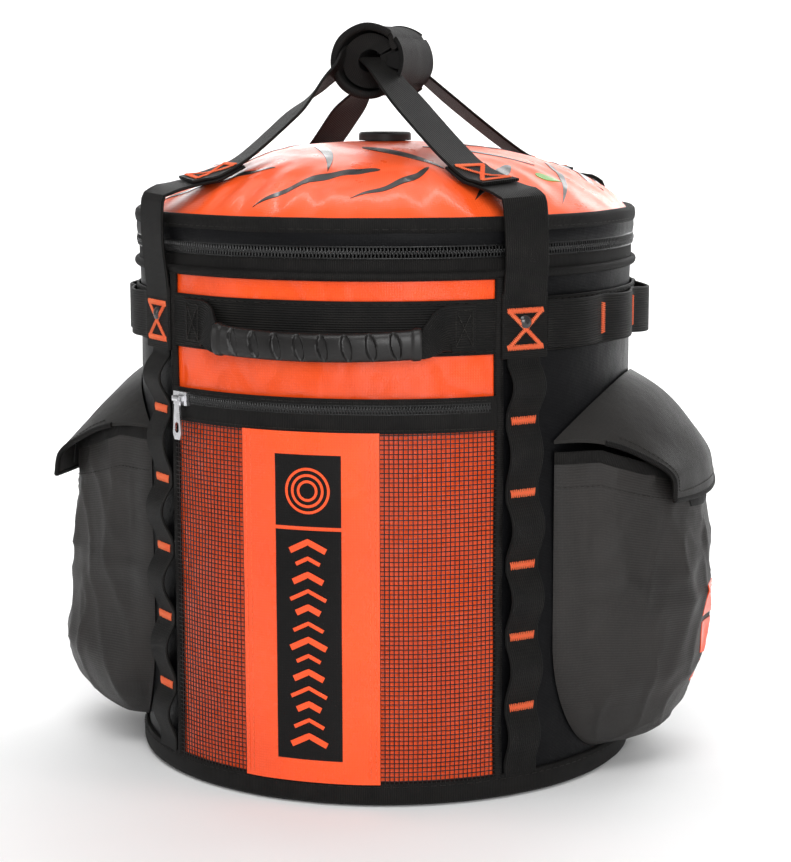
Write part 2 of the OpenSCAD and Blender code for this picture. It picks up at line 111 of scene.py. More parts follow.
class Look:
    """A principled material whose nodes are added one by one; sockets hold what is the same all over."""

    def __init__(self, name, color, rough, **sockets):
        self.mat = bpy.data.materials.new(name)
        self.mat.use_nodes = True
        self.tree = self.mat.node_tree
        self.bsdf = self.tree.nodes["Principled BSDF"]
        self.bsdf.inputs["Base Color"].default_value = (*color, 1)
        self.bsdf.inputs["Roughness"].default_value = rough
        for key, value in sockets.items():
            self.bsdf.inputs[key.replace("_", " ")].default_value = value
        self.normal = None

    def node(self, kind, *inputs, out=0, **props):
        n = self.tree.nodes.new("ShaderNode" + kind)
        for key, value in props.items():
            setattr(n, key, value)
        for i, value in enumerate(inputs):
            if isinstance(value, bpy.types.NodeSocket):
                self.tree.links.new(value, n.inputs[i])
            else:
                n.inputs[i].default_value = value
        return n.outputs[out]

    def times(self, a, b):
        return self.node("Math", a, b, operation="MULTIPLY")

    def plus(self, a, b):
        return self.node("Math", a, b, operation="ADD")

    def fabric(self):
        """How far along and across its fabric a place is, in millimetres."""
        n = self.tree.nodes.new("ShaderNodeSeparateXYZ")
        self.tree.links.new(self.node("UVMap"), n.inputs[0])
        return n.outputs[0], n.outputs[1]

    def place(self):
        return self.node("TexCoord", out=3)

    def wave(self, value, pitch):
        """A sine of the given pitch, from 0 to 1."""
        sine = self.node("Math", self.times(value, 2 * math.pi / pitch), operation="SINE")
        return self.node("Math", sine, 0.5, 0.5, operation="MULTIPLY_ADD")

    def noise(self, vector, scale, detail=3.0, rough=0.55):
        n = self.tree.nodes.new("ShaderNodeTexNoise")
        self.tree.links.new(vector, n.inputs["Vector"])
        n.inputs["Scale"].default_value = scale
        n.inputs["Detail"].default_value = detail
        n.inputs["Roughness"].default_value = rough
        return n.outputs["Fac"]

    def ramp(self, value, *stops):
        """A colour ramp; each stop is a place and a grey or a colour."""
        n = self.tree.nodes.new("ShaderNodeValToRGB")
        self.tree.links.new(value, n.inputs[0])
        while len(n.color_ramp.elements) < len(stops):
            n.color_ramp.elements.new(0.5)
        for element, (place, tone) in zip(n.color_ramp.elements, stops):
            element.position = place
            element.color = (tone, tone, tone, 1) if isinstance(tone, (int, float)) else (*tone, 1)
        return n.outputs[0]

    def bump(self, height, strength, depth_mm):
        n = self.tree.nodes.new("ShaderNodeBump")
        n.inputs["Strength"].default_value = strength
        n.inputs["Distance"].default_value = depth_mm * MM
        self.tree.links.new(height, n.inputs["Height"])
        if self.normal is not None:
            self.tree.links.new(self.normal, n.inputs["Normal"])
        self.normal = n.outputs[0]
        self.tree.links.new(self.normal, self.bsdf.inputs["Normal"])

    def drive(self, socket, value):
        self.tree.links.new(value, self.bsdf.inputs[socket])


def webbing_look(name, dark, light, cord=1.55):
    """Flat webbing: cords along its length, each crossed by fine weft."""
    look = Look(name, dark, 0.6, Sheen_Weight=0.008, Sheen_Roughness=0.5, Specular_IOR_Level=0.16)
    along, across = look.fabric()
    cords = look.wave(across, cord)
    weft = look.wave(along, 0.95)
    twill = look.wave(look.plus(along, across), 2.4)
    height = look.plus(look.times(cords, 0.75), look.times(weft, 0.25))
    cloud = look.noise(look.place(), 60.0, 4.0)
    # The colour is painted shade in the grooves between cords and between weft threads, scaled by random
    # clouding, with a faint twill pattern on top.
    tone = look.times(look.times(height, 0.8), cloud)
    tone = look.plus(tone, look.times(twill, 0.06))
    look.drive("Base Color", look.ramp(tone, (0.2, dark), (0.75, light)))
    look.bump(height, 0.75, 0.45)
    look.bump(cloud, 0.25, 0.6)
    return look.mat


def grosgrain_look(name, dark, light):
    """Binding tape: fine ribs straight across its length."""
    look = Look(name, dark, 0.68, Sheen_Weight=0.008, Sheen_Roughness=0.5, Specular_IOR_Level=0.16)
    along, across = look.fabric()
    ribs = look.wave(along, 1.15)
    fine = look.wave(across, 0.7)
    height = look.plus(look.times(ribs, 0.8), look.times(fine, 0.2))
    cloud = look.noise(look.place(), 80.0, 4.0)
    # The colour is painted shade in the grooves between the ribs and the fine threads, scaled by random
    # clouding.
    look.drive("Base Color", look.ramp(look.times(height, cloud), (0.1, dark), (0.6, light)))
    look.bump(height, 0.6, 0.35)
    return look.mat


def cloth_look(name, dark, light, pitch=0.95, rough=0.6, sheen=0.015, crease=0.5, gloss=0.3):
    """Plain-woven cloth: crossing threads, slow clouding and soft small creases."""
    look = Look(name, dark, rough, Sheen_Weight=sheen, Sheen_Roughness=0.4, Specular_IOR_Level=gloss)
    u, v = look.fabric()
    warp = look.wave(u, pitch)
    weft = look.wave(v, pitch)
    weave = look.times(warp, weft)
    place = look.place()
    cloud = look.noise(place, 22.0, 5.0)
    speck = look.noise(place, 900.0, 2.0)
    # The colour is partly painted shade between the crossing threads and partly random clouding and specks.
    tone = look.plus(look.times(weave, 0.3), look.times(cloud, 0.5))
    tone = look.plus(tone, look.times(speck, 0.2))
    look.drive("Base Color", look.ramp(tone, (0.25, dark), (0.8, light)))
    look.drive("Roughness", look.ramp(cloud, (0.3, rough - 0.08), (0.7, rough + 0.1)))
    look.bump(weave, 0.5, 0.25)
    look.bump(look.noise(place, 38.0, 5.0, 0.6), crease, 2.2)
    return look.mat


def coated_look(name, dark, light, rough=0.24, scrim=0.35, crease=0.85, coat=0.45, gloss=0.3):
    """PVC-coated fabric: a glossy skin over a faint square scrim, with shallow creases."""
    look = Look(name, light, rough, Coat_Weight=coat, Coat_Roughness=0.12, Specular_IOR_Level=gloss)
    u, v = look.fabric()
    grid = look.times(look.wave(u, 1.7), look.wave(v, 1.7))
    place = look.place()
    cloud = look.noise(place, 14.0, 5.0)
    # The colour is partly painted shade between the scrim's threads and partly random clouding.
    tone = look.plus(look.times(grid, 0.25), look.times(cloud, 0.75))
    look.drive("Base Color", look.ramp(tone, (0.2, dark), (0.75, light)))
    look.drive("Roughness", look.ramp(look.noise(place, 45.0, 4.0), (0.3, rough - 0.05), (0.7, rough + 0.12)))
    look.bump(grid, scrim, 0.16)
    look.bump(look.noise(place, 17.0, 3.0, 0.5), crease, 3.2)
    return look.mat


def grained_look(name, dark, light, rough, grain=350.0, strength=0.3, **sockets):
    """Moulded rubber or plastic: fine grain, faint mottling and scuffed roughness."""
    look = Look(name, dark, rough, **sockets)
    place = look.place()
    mottle = look.noise(place, 30.0, 5.0)
    look.drive("Base Color", look.ramp(mottle, (0.3, dark), (0.75, light)))
    look.drive("Roughness", look.ramp(look.noise(place, 90.0, 5.0), (0.3, rough - 0.08), (0.7, rough + 0.1)))
    look.bump(look.noise(place, grain * 2.2, 3.0), strength, 0.25)
    return look.mat


def metal_look(name, color, rough):
    """Plated die-cast metal with fine brushing and dull patches."""
    look = Look(name, color, rough, Metallic=1.0)
    place = look.place()
    dull = look.noise(place, 160.0, 5.0)
    look.drive("Base Color", look.ramp(dull, (0.3, tuple(c * 0.72 for c in color)), (0.7, color)))
    look.drive("Roughness", look.ramp(dull, (0.3, rough), (0.75, rough + 0.2)))
    look.bump(look.noise(place, 1500.0, 2.0), 0.15, 0.1)
    return look.mat


def neoprene_look(name, dark, light):
    """Knit-faced neoprene: a fine loop texture and soft sheen."""
    look = Look(name, dark, 0.75, Sheen_Weight=0.01, Sheen_Roughness=0.5, Specular_IOR_Level=0.15)
    place = look.place()
    u, v = look.fabric()
    knit = look.times(look.wave(u, 1.2), look.wave(look.plus(u, v), 1.4))
    cloud = look.noise(place, 70.0, 5.0)
    # The colour is painted shade between the knit's loops, scaled by random clouding.
    look.drive("Base Color", look.ramp(look.times(cloud, knit), (0.05, dark), (0.5, light)))
    look.bump(knit, 0.4, 0.3)
    look.bump(look.noise(place, 55.0, 4.0), 0.45, 1.6)
    return look.mat


ORANGE = (0.97, 0.098, 0.010)
ORANGE_DEEP = (0.82, 0.064, 0.007)
LOOKS = {
    "coated_orange": coated_look("coated_orange", ORANGE_DEEP, ORANGE),
    "lid_orange": coated_look("lid_orange", (0.84, 0.080, 0.014), (0.98, 0.118, 0.022), rough=0.3,
                              crease=0.3, coat=0.14, gloss=0.26),
    "print_black": coated_look("print_black", (0.008, 0.008, 0.008), (0.02, 0.018, 0.018), rough=0.3),
    "print_green": coated_look("print_green", (0.10, 0.30, 0.03), (0.17, 0.42, 0.05), rough=0.3),
    "label": coated_look("label_film", (0.003, 0.003, 0.003), (0.008, 0.007, 0.007), rough=0.4, scrim=0.6,
                         coat=0.0, gloss=0.15),
    "label_motif": coated_look("label_motif", ORANGE_DEEP, ORANGE, rough=0.35),
    "webbing": webbing_look("webbing", (0.0014, 0.0013, 0.0012), (0.024, 0.0212, 0.0188)),
    "binding": grosgrain_look("binding", (0.0015, 0.0013, 0.0013), (0.012, 0.0108, 0.0098)),
    "wall_fabric": cloth_look("wall_fabric", (0.0014, 0.0014, 0.0017), (0.006, 0.006, 0.0072), rough=0.42,
                              gloss=0.10, sheen=0.0),
    "pouch_fabric": cloth_look("pouch_fabric", (0.012, 0.011, 0.0105), (0.040, 0.036, 0.0335), rough=0.5,
                               crease=0.4, gloss=0.25),
    "flap_fabric": cloth_look("flap_fabric", (0.007, 0.0065, 0.006), (0.026, 0.0235, 0.0215), rough=0.52,
                              crease=0.4, gloss=0.22),
    "mesh": grained_look("mesh_cord", (0.007, 0.005, 0.005), (0.016, 0.012, 0.011), 0.5,
                         Specular_IOR_Level=0.25),
    "foam": cloth_look("lining_cloth", (0.055, 0.055, 0.06), (0.12, 0.12, 0.125), rough=0.7),
    "padding": cloth_look("air_mesh", (0.008, 0.008, 0.008), (0.035, 0.035, 0.037), pitch=2.6, rough=0.8),
    "hoop": cloth_look("hoop_cover", (0.012, 0.012, 0.012), (0.04, 0.04, 0.04), rough=0.7),
    "stiffener": grained_look("stiffener", (0.015, 0.015, 0.016), (0.035, 0.035, 0.036), 0.5),
    "base_fabric": grained_look("base_fabric", (0.010, 0.010, 0.010), (0.024, 0.023, 0.022), 0.75, 200.0, 0.5),
    "coil": grained_look("coil", (0.003, 0.003, 0.003), (0.012, 0.012, 0.012), 0.3, Specular_IOR_Level=0.45),
    "metal": metal_look("plated_metal", (0.78, 0.78, 0.80), 0.2),
    "rivet": grained_look("rivet", (0.010, 0.010, 0.011), (0.022, 0.022, 0.024), 0.2, Specular_IOR_Level=0.7),
    "grip": grained_look("grip_rubber", (0.006, 0.0055, 0.0055), (0.014, 0.013, 0.0125), 0.36, 500.0, 0.25,
                         Specular_IOR_Level=0.35),
    "port": grained_look("port_rubber", (0.008, 0.008, 0.008), (0.02, 0.02, 0.02), 0.5),
    "wrap": neoprene_look("neoprene", (0.0025, 0.0022, 0.0021), (0.012, 0.0105, 0.0095)),
    "buckle": grained_look("buckle", (0.010, 0.010, 0.010), (0.02, 0.02, 0.02), 0.35),
    "hook_tape": grained_look("hook_tape", (0.008, 0.008, 0.008), (0.03, 0.03, 0.03), 0.9, 900.0, 1.0),
    "thread": webbing_look("orange_thread", (0.95, 0.15, 0.055), (1.0, 0.32, 0.14), cord=0.8),
    "dark_thread": webbing_look("dark_thread", (0.012, 0.011, 0.010), (0.07, 0.065, 0.06), cord=0.8),
}

# ---- mesh tools


class Geo:
    """Collects closed surfaces and becomes one piece; a flip of -1 mirrors it to the -X side."""

    def __init__(self, flip=1):
        self.flip = flip
        self.verts, self.faces, self.uvs = [], [], []

    def rings(self, rings, us, vs, wrap=False, turn=0.0, lap=0.0):
        """Joins rings of points and closes the ends. wrap joins the last ring to the first, turn millimetres
        further on; lap is what the last point of a ring adds to v on its way to the first."""
        base, n = len(self.verts), len(rings[0])
        for ring in rings:
            self.verts.extend(ring)
        for i in range(len(rings) if wrap else len(rings) - 1):
            j = (i + 1) % len(rings)
            u0, u1 = us[i], us[j] + (turn if j == 0 else 0)
            for k in range(n):
                m = (k + 1) % n
                v0, v1 = vs[k], vs[m] + (lap if m == 0 else 0)
                self.faces.append((base + i * n + k, base + i * n + m, base + j * n + m, base + j * n + k))
                self.uvs.append(((u0, v0), (u0, v1), (u1, v1), (u1, v0)))
        if not wrap:
            for i in (0, len(rings) - 1):
                self.faces.append(tuple(base + i * n + k for k in range(n)))
                self.uvs.append(tuple((us[i], v) for v in vs))

    def capsule(self, a, b, radius, sides=6):
        """A short thread from a to b with rounded ends; none where the two are the same point."""
        if (b - a).length < 1e-6:
            return
        d = (b - a).normalized()
        side = d.cross(UP if abs(d.z) < 0.9 else Vector((1, 0, 0))).normalized()
        other = d.cross(side)
        circle = [side * math.cos(t) + other * math.sin(t) for t in turns(sides)]
        ends = [(a - d * radius * 0.75, 0.45), (a, 1.0), (b, 1.0), (b + d * radius * 0.75, 0.45)]
        rings = [[p + c * (radius * scale) for c in circle] for p, scale in ends]
        lengths = [0, radius, (b - a).length, (b - a).length + radius]
        self.rings(rings, lengths, [k * radius for k in range(sides)])

    def piece(self, name, slot, body=None, node=None, look=None, crisp=35.0):
        """Makes the object with its material. It rides on body where one is given, and stands in for the CAD
        node where one is given."""
        mesh = bpy.data.meshes.new(name)
        points = [v * MM for v in self.verts]
        mesh.from_pydata([(p.x * self.flip, p.y, p.z) for p in points], [], self.faces)
        layer = mesh.uv_layers.new(name="fabric")
        layer.data.foreach_set("uv", [c for face in self.uvs for uv in face for c in uv])
        b = bmesh.new()
        b.from_mesh(mesh)
        bmesh.ops.recalc_face_normals(b, faces=b.faces)
        b.to_mesh(mesh)
        b.free()
        mesh.polygons.foreach_set("use_smooth", [True] * len(mesh.polygons))
        mesh.set_sharp_from_angle(angle=math.radians(crisp))
        mesh.materials.append(LOOKS[look or slot])
        obj = bpy.data.objects.new(name, mesh)
        bpy.context.scene.collection.objects.link(obj)
        if body:
            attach(obj, body)
        if node:
            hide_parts(node)
        return obj


def around(angle, r, z):
    a = math.radians(angle)
    return Vector((r * math.sin(a), -r * math.cos(a), z))


def outward(angle):
    return around(angle, 1, 0)


def sideways(angle):
    return around(angle + 90, 1, 0)


def mirrored(p, sx, sy):
    return Vector((p.x * sx, p.y * sy, p.z))


def wobble(p, size, seed=0.0):
    """Smooth noise from -1 to 1 whose lumps are about size millimetres across."""
    return noise.noise(p / size + Vector((seed, seed * 1.7, seed * 0.6)))


def spread(a, b, n):
    return [a + (b - a) * i / n for i in range(n + 1)]


def turns(n):
    """Angles of n even steps of one full turn, in radians."""
    return [2 * math.pi * k / n for k in range(n)]


def smooth(t):
    t = max(0.0, min(1.0, t))
    return t * t * (3 - 2 * t)


def flat_profile(width, thick, crown=0.0, n=8):
    """Half-round edged strip: points (across, out) round its section."""
    h = thick / 2
    w = width / 2 - h * 0.7
    top = [(s, h + crown * (1 - (s / w) ** 2)) for s in spread(-w, w, n)]
    under = [(s, -h) for s in spread(w, -w, n)]
    edge = [(w + h * 0.5, h * 0.62), (w + h * 0.7, 0), (w + h * 0.5, -h * 0.62)]
    return top + edge + under + [(-s, t) for s, t in reversed(edge)]


def round_profile(rx, ry, n):
    return [(rx * math.cos(t), ry * math.sin(t)) for t in turns(n)]


def rise(angle, r, zs):
    """A track straight up the drum. A track is a list of (point, out) pairs."""
    return [(around(angle, r, z), outward(angle)) for z in zs]


def sweep(geo, track, profile, wrap=False, scale=None):
    """Carries a profile along a track; each out is the way the strip's face looks at that point. On a flipped
    piece the first number of the profile counts the other way than on its mirror image."""
    rings, us, run = [], [], 0.0
    last = len(track) - 1
    for i, (p, out) in enumerate(track):
        before = track[i - 1][0] if i or wrap else p
        after = track[(i + 1) % len(track)][0] if i < last or wrap else p
        tangent = (after - before).normalized()
        across = out.cross(tangent).normalized()
        face = tangent.cross(across)
        k = geo.flip * (scale[i] if scale else 1.0)
        rings.append([p + across * (s * k) + face * t for s, t in profile])
        if i:
            run += (p - track[i - 1][0]).length
        us.append(run)
    turn = run + (track[0][0] - track[-1][0]).length
    geo.rings(rings, us, [s for s, _ in profile], wrap=wrap, turn=turn)


def curve(keys, step=4.0):
    """A smooth track through key pairs, resampled about every step millimetres."""
    points = [k[0] for k in keys]
    track = []
    for i in range(len(keys) - 1):
        p0, p1, p2, p3 = points[max(i - 1, 0)], points[i], points[i + 1], points[min(i + 2, len(keys) - 1)]
        n = max(2, round((p2 - p1).length / step))
        for j in range(n if i < len(keys) - 2 else n + 1):
            t = j / n
            point = 0.5 * ((2 * p1) + (p2 - p0) * t + (2 * p0 - 5 * p1 + 4 * p2 - p3) * t * t
                           + (3 * p1 - p0 - 3 * p2 + p3) * t ** 3)
            track.append((point, keys[i][1].lerp(keys[i + 1][1], smooth(t)).normalized()))
    return track


def shell(geo, surface, nu, nv, thick, wrap=False):
    """A sheet with thickness: surface(u, v) gives its outer point and normal, u and v from 0 to 1.
    It also gives the point's place on the fabric, in millimetres, which must not depend on the other axis.
    A wrapped sheet goes right round, over 1000 mm of fabric."""
    rings, us, vs = [], [], []
    for i in range(nu if wrap else nu + 1):
        outer, inner = [], []
        for j in range(nv + 1):
            p, normal, uv = surface(i / nu, j / nv)
            outer.append(p)
            inner.append(p - normal * thick)
            if i == 0:
                vs.append(uv[1])
        us.append(uv[0])
        rings.append(outer + inner[::-1])
    geo.rings(rings, us, vs + vs[::-1], wrap=wrap, turn=1000)


def patch(geo, point, u_range, v_range, counts, lift, thick, fabric):
    """A patch on a sheet whose point(u, v) gives a point and a normal; its face stands lift off the sheet,
    and fabric is how many millimetres of cloth go to one u and to the patch's whole height."""
    (u1, u2), (v1, v2) = u_range, v_range

    def surface(u, v):
        across = u1 + (u2 - u1) * u
        p, normal = point(across, v1 + (v2 - v1) * v)
        return p + normal * lift, normal, (across * fabric[0], v * fabric[1])
    shell(geo, surface, *counts, thick)


def band_patch(geo, a1, a2, z1, z2, radius, thick, na=None, nz=None):
    """A curved panel of the drum; radius(angle, z) is its outer face."""
    na = na or round((a2 - a1) / 1.5)
    nz = nz or round((z2 - z1) / 5)

    def surface(u, v):
        a, z = a1 + (a2 - a1) * u, z1 + (z2 - z1) * v
        return around(a, radius(a, z), z), outward(a), (math.radians(a) * DRUM_R, z)
    shell(geo, surface, na, nz, thick)


def hoop(name, slot, body, node, r, z, profile, n, ripple=0.0, size=30.0):
    """A piece that rings the drum; the profile's first axis is height."""
    track = []
    for k in range(n):
        p, out = around(k * 360 / n, r, z), outward(k * 360 / n)
        track.append((p + out * ripple * wobble(p, size) + UP * ripple * 0.5 * wobble(p, size, 5.0), out))
    g = Geo()
    sweep(g, track, profile, wrap=True)
    g.piece(name, slot, body, node)


def ring_seam(geo, r, z, length, radius):
    """A running seam all round the drum; length is one stitch, in degrees."""
    for a in range(0, 360, 2):
        geo.capsule(around(a, r, z), around(a + length, r, z), radius)


def track_seam(geo, track):
    """A running seam along a track: every other step is a stitch."""
    for (p, n), (q, m) in zip(track[::2], track[1::2]):
        geo.capsule(p + n * 0.2, q + m * 0.2, 0.26)


def stitches(geo, place, points, length=3.0, gap=1.1, radius=0.28):
    """A running seam along points in the flat coordinates that place() turns into (point, normal)."""
    for (x0, y0), (x1, y1) in zip(points, points[1:]):
        run = math.hypot(x1 - x0, y1 - y0)
        for i in range(max(1, int(run / (length + gap)))):
            t0 = (i * (length + gap) + gap / 2) / run
            t1 = t0 + length / run
            a, na = place(x0 + (x1 - x0) * t0, y0 + (y1 - y0) * t0)
            b, nb = place(x0 + (x1 - x0) * t1, y0 + (y1 - y0) * t1)
            geo.capsule(a + na * 0.1, b + nb * 0.1, radius)


def satin(geo, place, a, b, width=2.3, pitch=0.62):
    """A dense zigzag bar of thread from a to b, in the flat coordinates of place()."""
    dx, dy = b[0] - a[0], b[1] - a[1]
    run = math.hypot(dx, dy)
    dx, dy = dx / run, dy / run
    count = int(run / pitch)
    for i in range(count + 1):
        s = run * i / count
        lean = 0.35 if i % 2 else -0.35
        x, y = a[0] + dx * s, a[1] + dy * s
        half = width / 2 * (1 + 0.12 * math.sin(i * 2.3))
        p, n = place(x - dy * half + dx * lean, y + dx * half + dy * lean)
        q, m = place(x + dy * half - dx * lean, y - dx * half - dy * lean)
        mid, k = place(x, y)
        geo.capsule(p + n * 0.25, mid + k * 0.5, 0.42)
        geo.capsule(mid + k * 0.5, q + m * 0.25, 0.42)


def hourglass(geo, place, w, h):
    """The crossed seam of a strap end: a bar above, a bar below and two diagonals."""
    satin(geo, place, (-w, -h), (w, h))
    satin(geo, place, (w, -h), (-w, h))
    for y in (h, -h):
        satin(geo, place, (-w - 0.6, y), (w + 0.6, y), width=2.8)


def on_drum(angle, r, z):
    """Flat coordinates centred at an angle and height on the drum: x along the wall, y up."""
    def place(x, y):
        a = angle + math.degrees(x / r)
        return around(a, r, z + y), outward(a)
    return place


def on_strap(track, centre, lift):
    """Flat coordinates on a strap's outer face: x across it, y along it from the point nearest centre."""
    path = [p for p, _ in track]
    run = [0.0]
    for a, b in zip(path, path[1:]):
        run.append(run[-1] + (b - a).length)
    near = min(range(len(path)), key=lambda i: (path[i] - centre).length)

    def place(x, y):
        want = max(0.0, min(run[-1] - 0.01, run[near] + y))
        i = max(k for k in range(len(run) - 1) if run[k] <= want)
        t = (want - run[i]) / (run[i + 1] - run[i])
        ahead = path[i + 1] - path[i]
        across = track[i][1].lerp(track[i + 1][1], t).cross(ahead).normalized()
        normal = ahead.cross(across).normalized()
        return path[i].lerp(path[i + 1], t) + across * x + normal * lift, normal
    return place


# ---- drum


def wall_radius(a, z):
    """The drum's outer face: a foam-backed wall that gives a little between its seams."""
    p = around(a, DRUM_R, z)
    slack = smooth((z - 14) / 25) * smooth((PIPING_Z - 3 - z) / 12)
    return DRUM_R - 0.5 + slack * (1.0 * wobble(p, 70) + 0.45 * wobble(p, 22, 3.0) - 0.3)


def panel_radius(a, z):
    """The coated front panel: stiffer, with sharp shallow dents between band, zip and binding."""
    p = around(a, DRUM_R, z)
    dent = abs(wobble(Vector((p.x * 1.5, p.y, p.z * 0.9)), 26, 9.0)) ** 0.7
    slack = smooth((z - BASE_H) / 8) * smooth((PANEL_HALF - abs(a)) / 3)
    ripple = 0.9 * wobble(Vector((p.x * 2.2, p.y, p.z * 0.8)), 34, 2.0)
    return DRUM_R - 0.3 + slack * (ripple - 1.6 * max(0.0, 0.5 - dent))


def build_drum():
    for node, a1, a2 in (("side_panel_right", PANEL_HALF, 128), ("side_panel_left", -128, -PANEL_HALF),
                         ("back_panel", 128, 232)):
        g = Geo()
        band_patch(g, a1, a2, 4, PIPING_Z, wall_radius, 1.6)
        g.piece(node + "_cloth", "wall_fabric", "bag", node)
    g = Geo()
    band_patch(g, -PANEL_HALF, PANEL_HALF, 4, PIPING_Z, panel_radius, 1.4, na=110, nz=120)
    g.piece("front_panel_coated", "coated_orange", "bag", "front_panel")
    g = Geo()
    for s in (-1, 1):
        a = s * PANEL_HALF
        track = [(around(a + 0.25 * wobble(Vector((0, s * 50, z)), 40), DRUM_R + 0.9, z), outward(a))
                 for z in spread(BASE_H - 2, PIPING_Z - 2, 60)]
        sweep(g, track, flat_profile(6.4, 3.4, 0.6))
    g.piece("panel_binding_tape", "binding", "bag", "panel_bindings")
    rolled = [(-8, -1.6), (-7.6, 0.4), (-6.0, 2.2), (-3, 2.9), (2, 2.9), (6.2, 2.6), (7.6, 1.6), (7.8, -0.4),
              (4, -1.4), (-3, -1.8)]
    hoop("base_binding_tape", "binding", "bag", "base_binding", DRUM_R + 0.2, BASE_H / 2 + 0.2, rolled, 200,
         0.25, 24)
    hoop("rim_piping_cord", "binding", "bag", "rim_piping", DRUM_R + 0.6, PIPING_Z, round_profile(2.9, 2.7, 16),
         200, 0.35, 36)
    g = Geo()
    ring_seam(g, DRUM_R + 3.1, BASE_H - 2.6, 1.1, 0.3)
    g.piece("base_seam", "binding", "bag", look="dark_thread")


def build_band():
    hoop("upper_band_web", "webbing", "bag", "upper_band", BAND_R - 0.9, BAND_MID,
         flat_profile(BAND_TOP - BAND_Z, WEB_T), 200, 0.3, 45)
    g = Geo()
    for z in (BAND_Z + 2.2, BAND_TOP - 2.2):
        ring_seam(g, BAND_R + 0.25, z, 1.2, 0.24)
    g.piece("band_seams", "webbing", "bag", look="dark_thread")
    for side, name in SIDES:
        g, thread = Geo(), Geo()
        track = []
        for a in spread(GEAR_TACKS[0] - 1.5, GEAR_TACKS[-1] + 1.5, 96):
            bulge = 0.0
            for a1, a2, height in zip(GEAR_TACKS, GEAR_TACKS[1:], GEAR_BULGE):
                if a1 < a < a2:
                    bulge = height * math.sin(math.pi * (a - a1) / (a2 - a1)) ** 1.25
            track.append((around(side * a, BAND_R + 1.3 + bulge, BAND_MID - 0.15 * bulge), outward(side * a)))
        sweep(g, track, flat_profile(31, WEB_T))
        g.piece(f"gear_loop_web_{name}", "webbing", "bag", f"gear_loops_{name}")
        for a in GEAR_TACKS[1:4]:
            satin(thread, on_drum(side * a, BAND_R + 2.4, BAND_MID), (0, -9.5), (0, 9.5), width=4.2, pitch=0.7)
        thread.piece(f"gear_loop_tacks_{name}", "webbing", "bag", look="thread")


def build_ladders():
    for angle, name in ((CORNER, "front_right"), (-CORNER, "front_left"), (180 - CORNER, "back_right"),
                        (180 + CORNER, "back_left")):
        g, thread = Geo(), Geo()
        track = []
        for z in spread(TACKS[0] - 5, TACKS[-1] + 4, 130):
            bulge = 0.0
            for z1, z2 in zip(TACKS, TACKS[1:]):
                if z1 < z < z2:
                    flat = 4.0
                    t = max(0.0, min(1.0, (z - z1 - flat) / (z2 - z1 - 2 * flat)))
                    bulge = (7.0 + 1.4 * math.sin(z2 * 0.7)) * math.sin(math.pi * t ** 1.18) ** 1.1
            sway = 0.35 * wobble(Vector((angle, 0, z)), 60)
            track.append((around(angle + sway, DRUM_R + 1.5 + bulge, z), outward(angle)))
        sweep(g, track, flat_profile(LADDER_W, WEB_T))
        g.piece(f"ladder_web_{name}", "webbing", "bag", f"ladder_{name}")
        for z in TACKS[1:-1]:
            satin(thread, on_drum(angle, DRUM_R + 2.7, z), (-8.8, 0), (8.8, 0), width=4.4, pitch=0.68)
        thread.piece(f"ladder_tacks_{name}", "webbing", "bag", look="thread")


# ---- front pocket


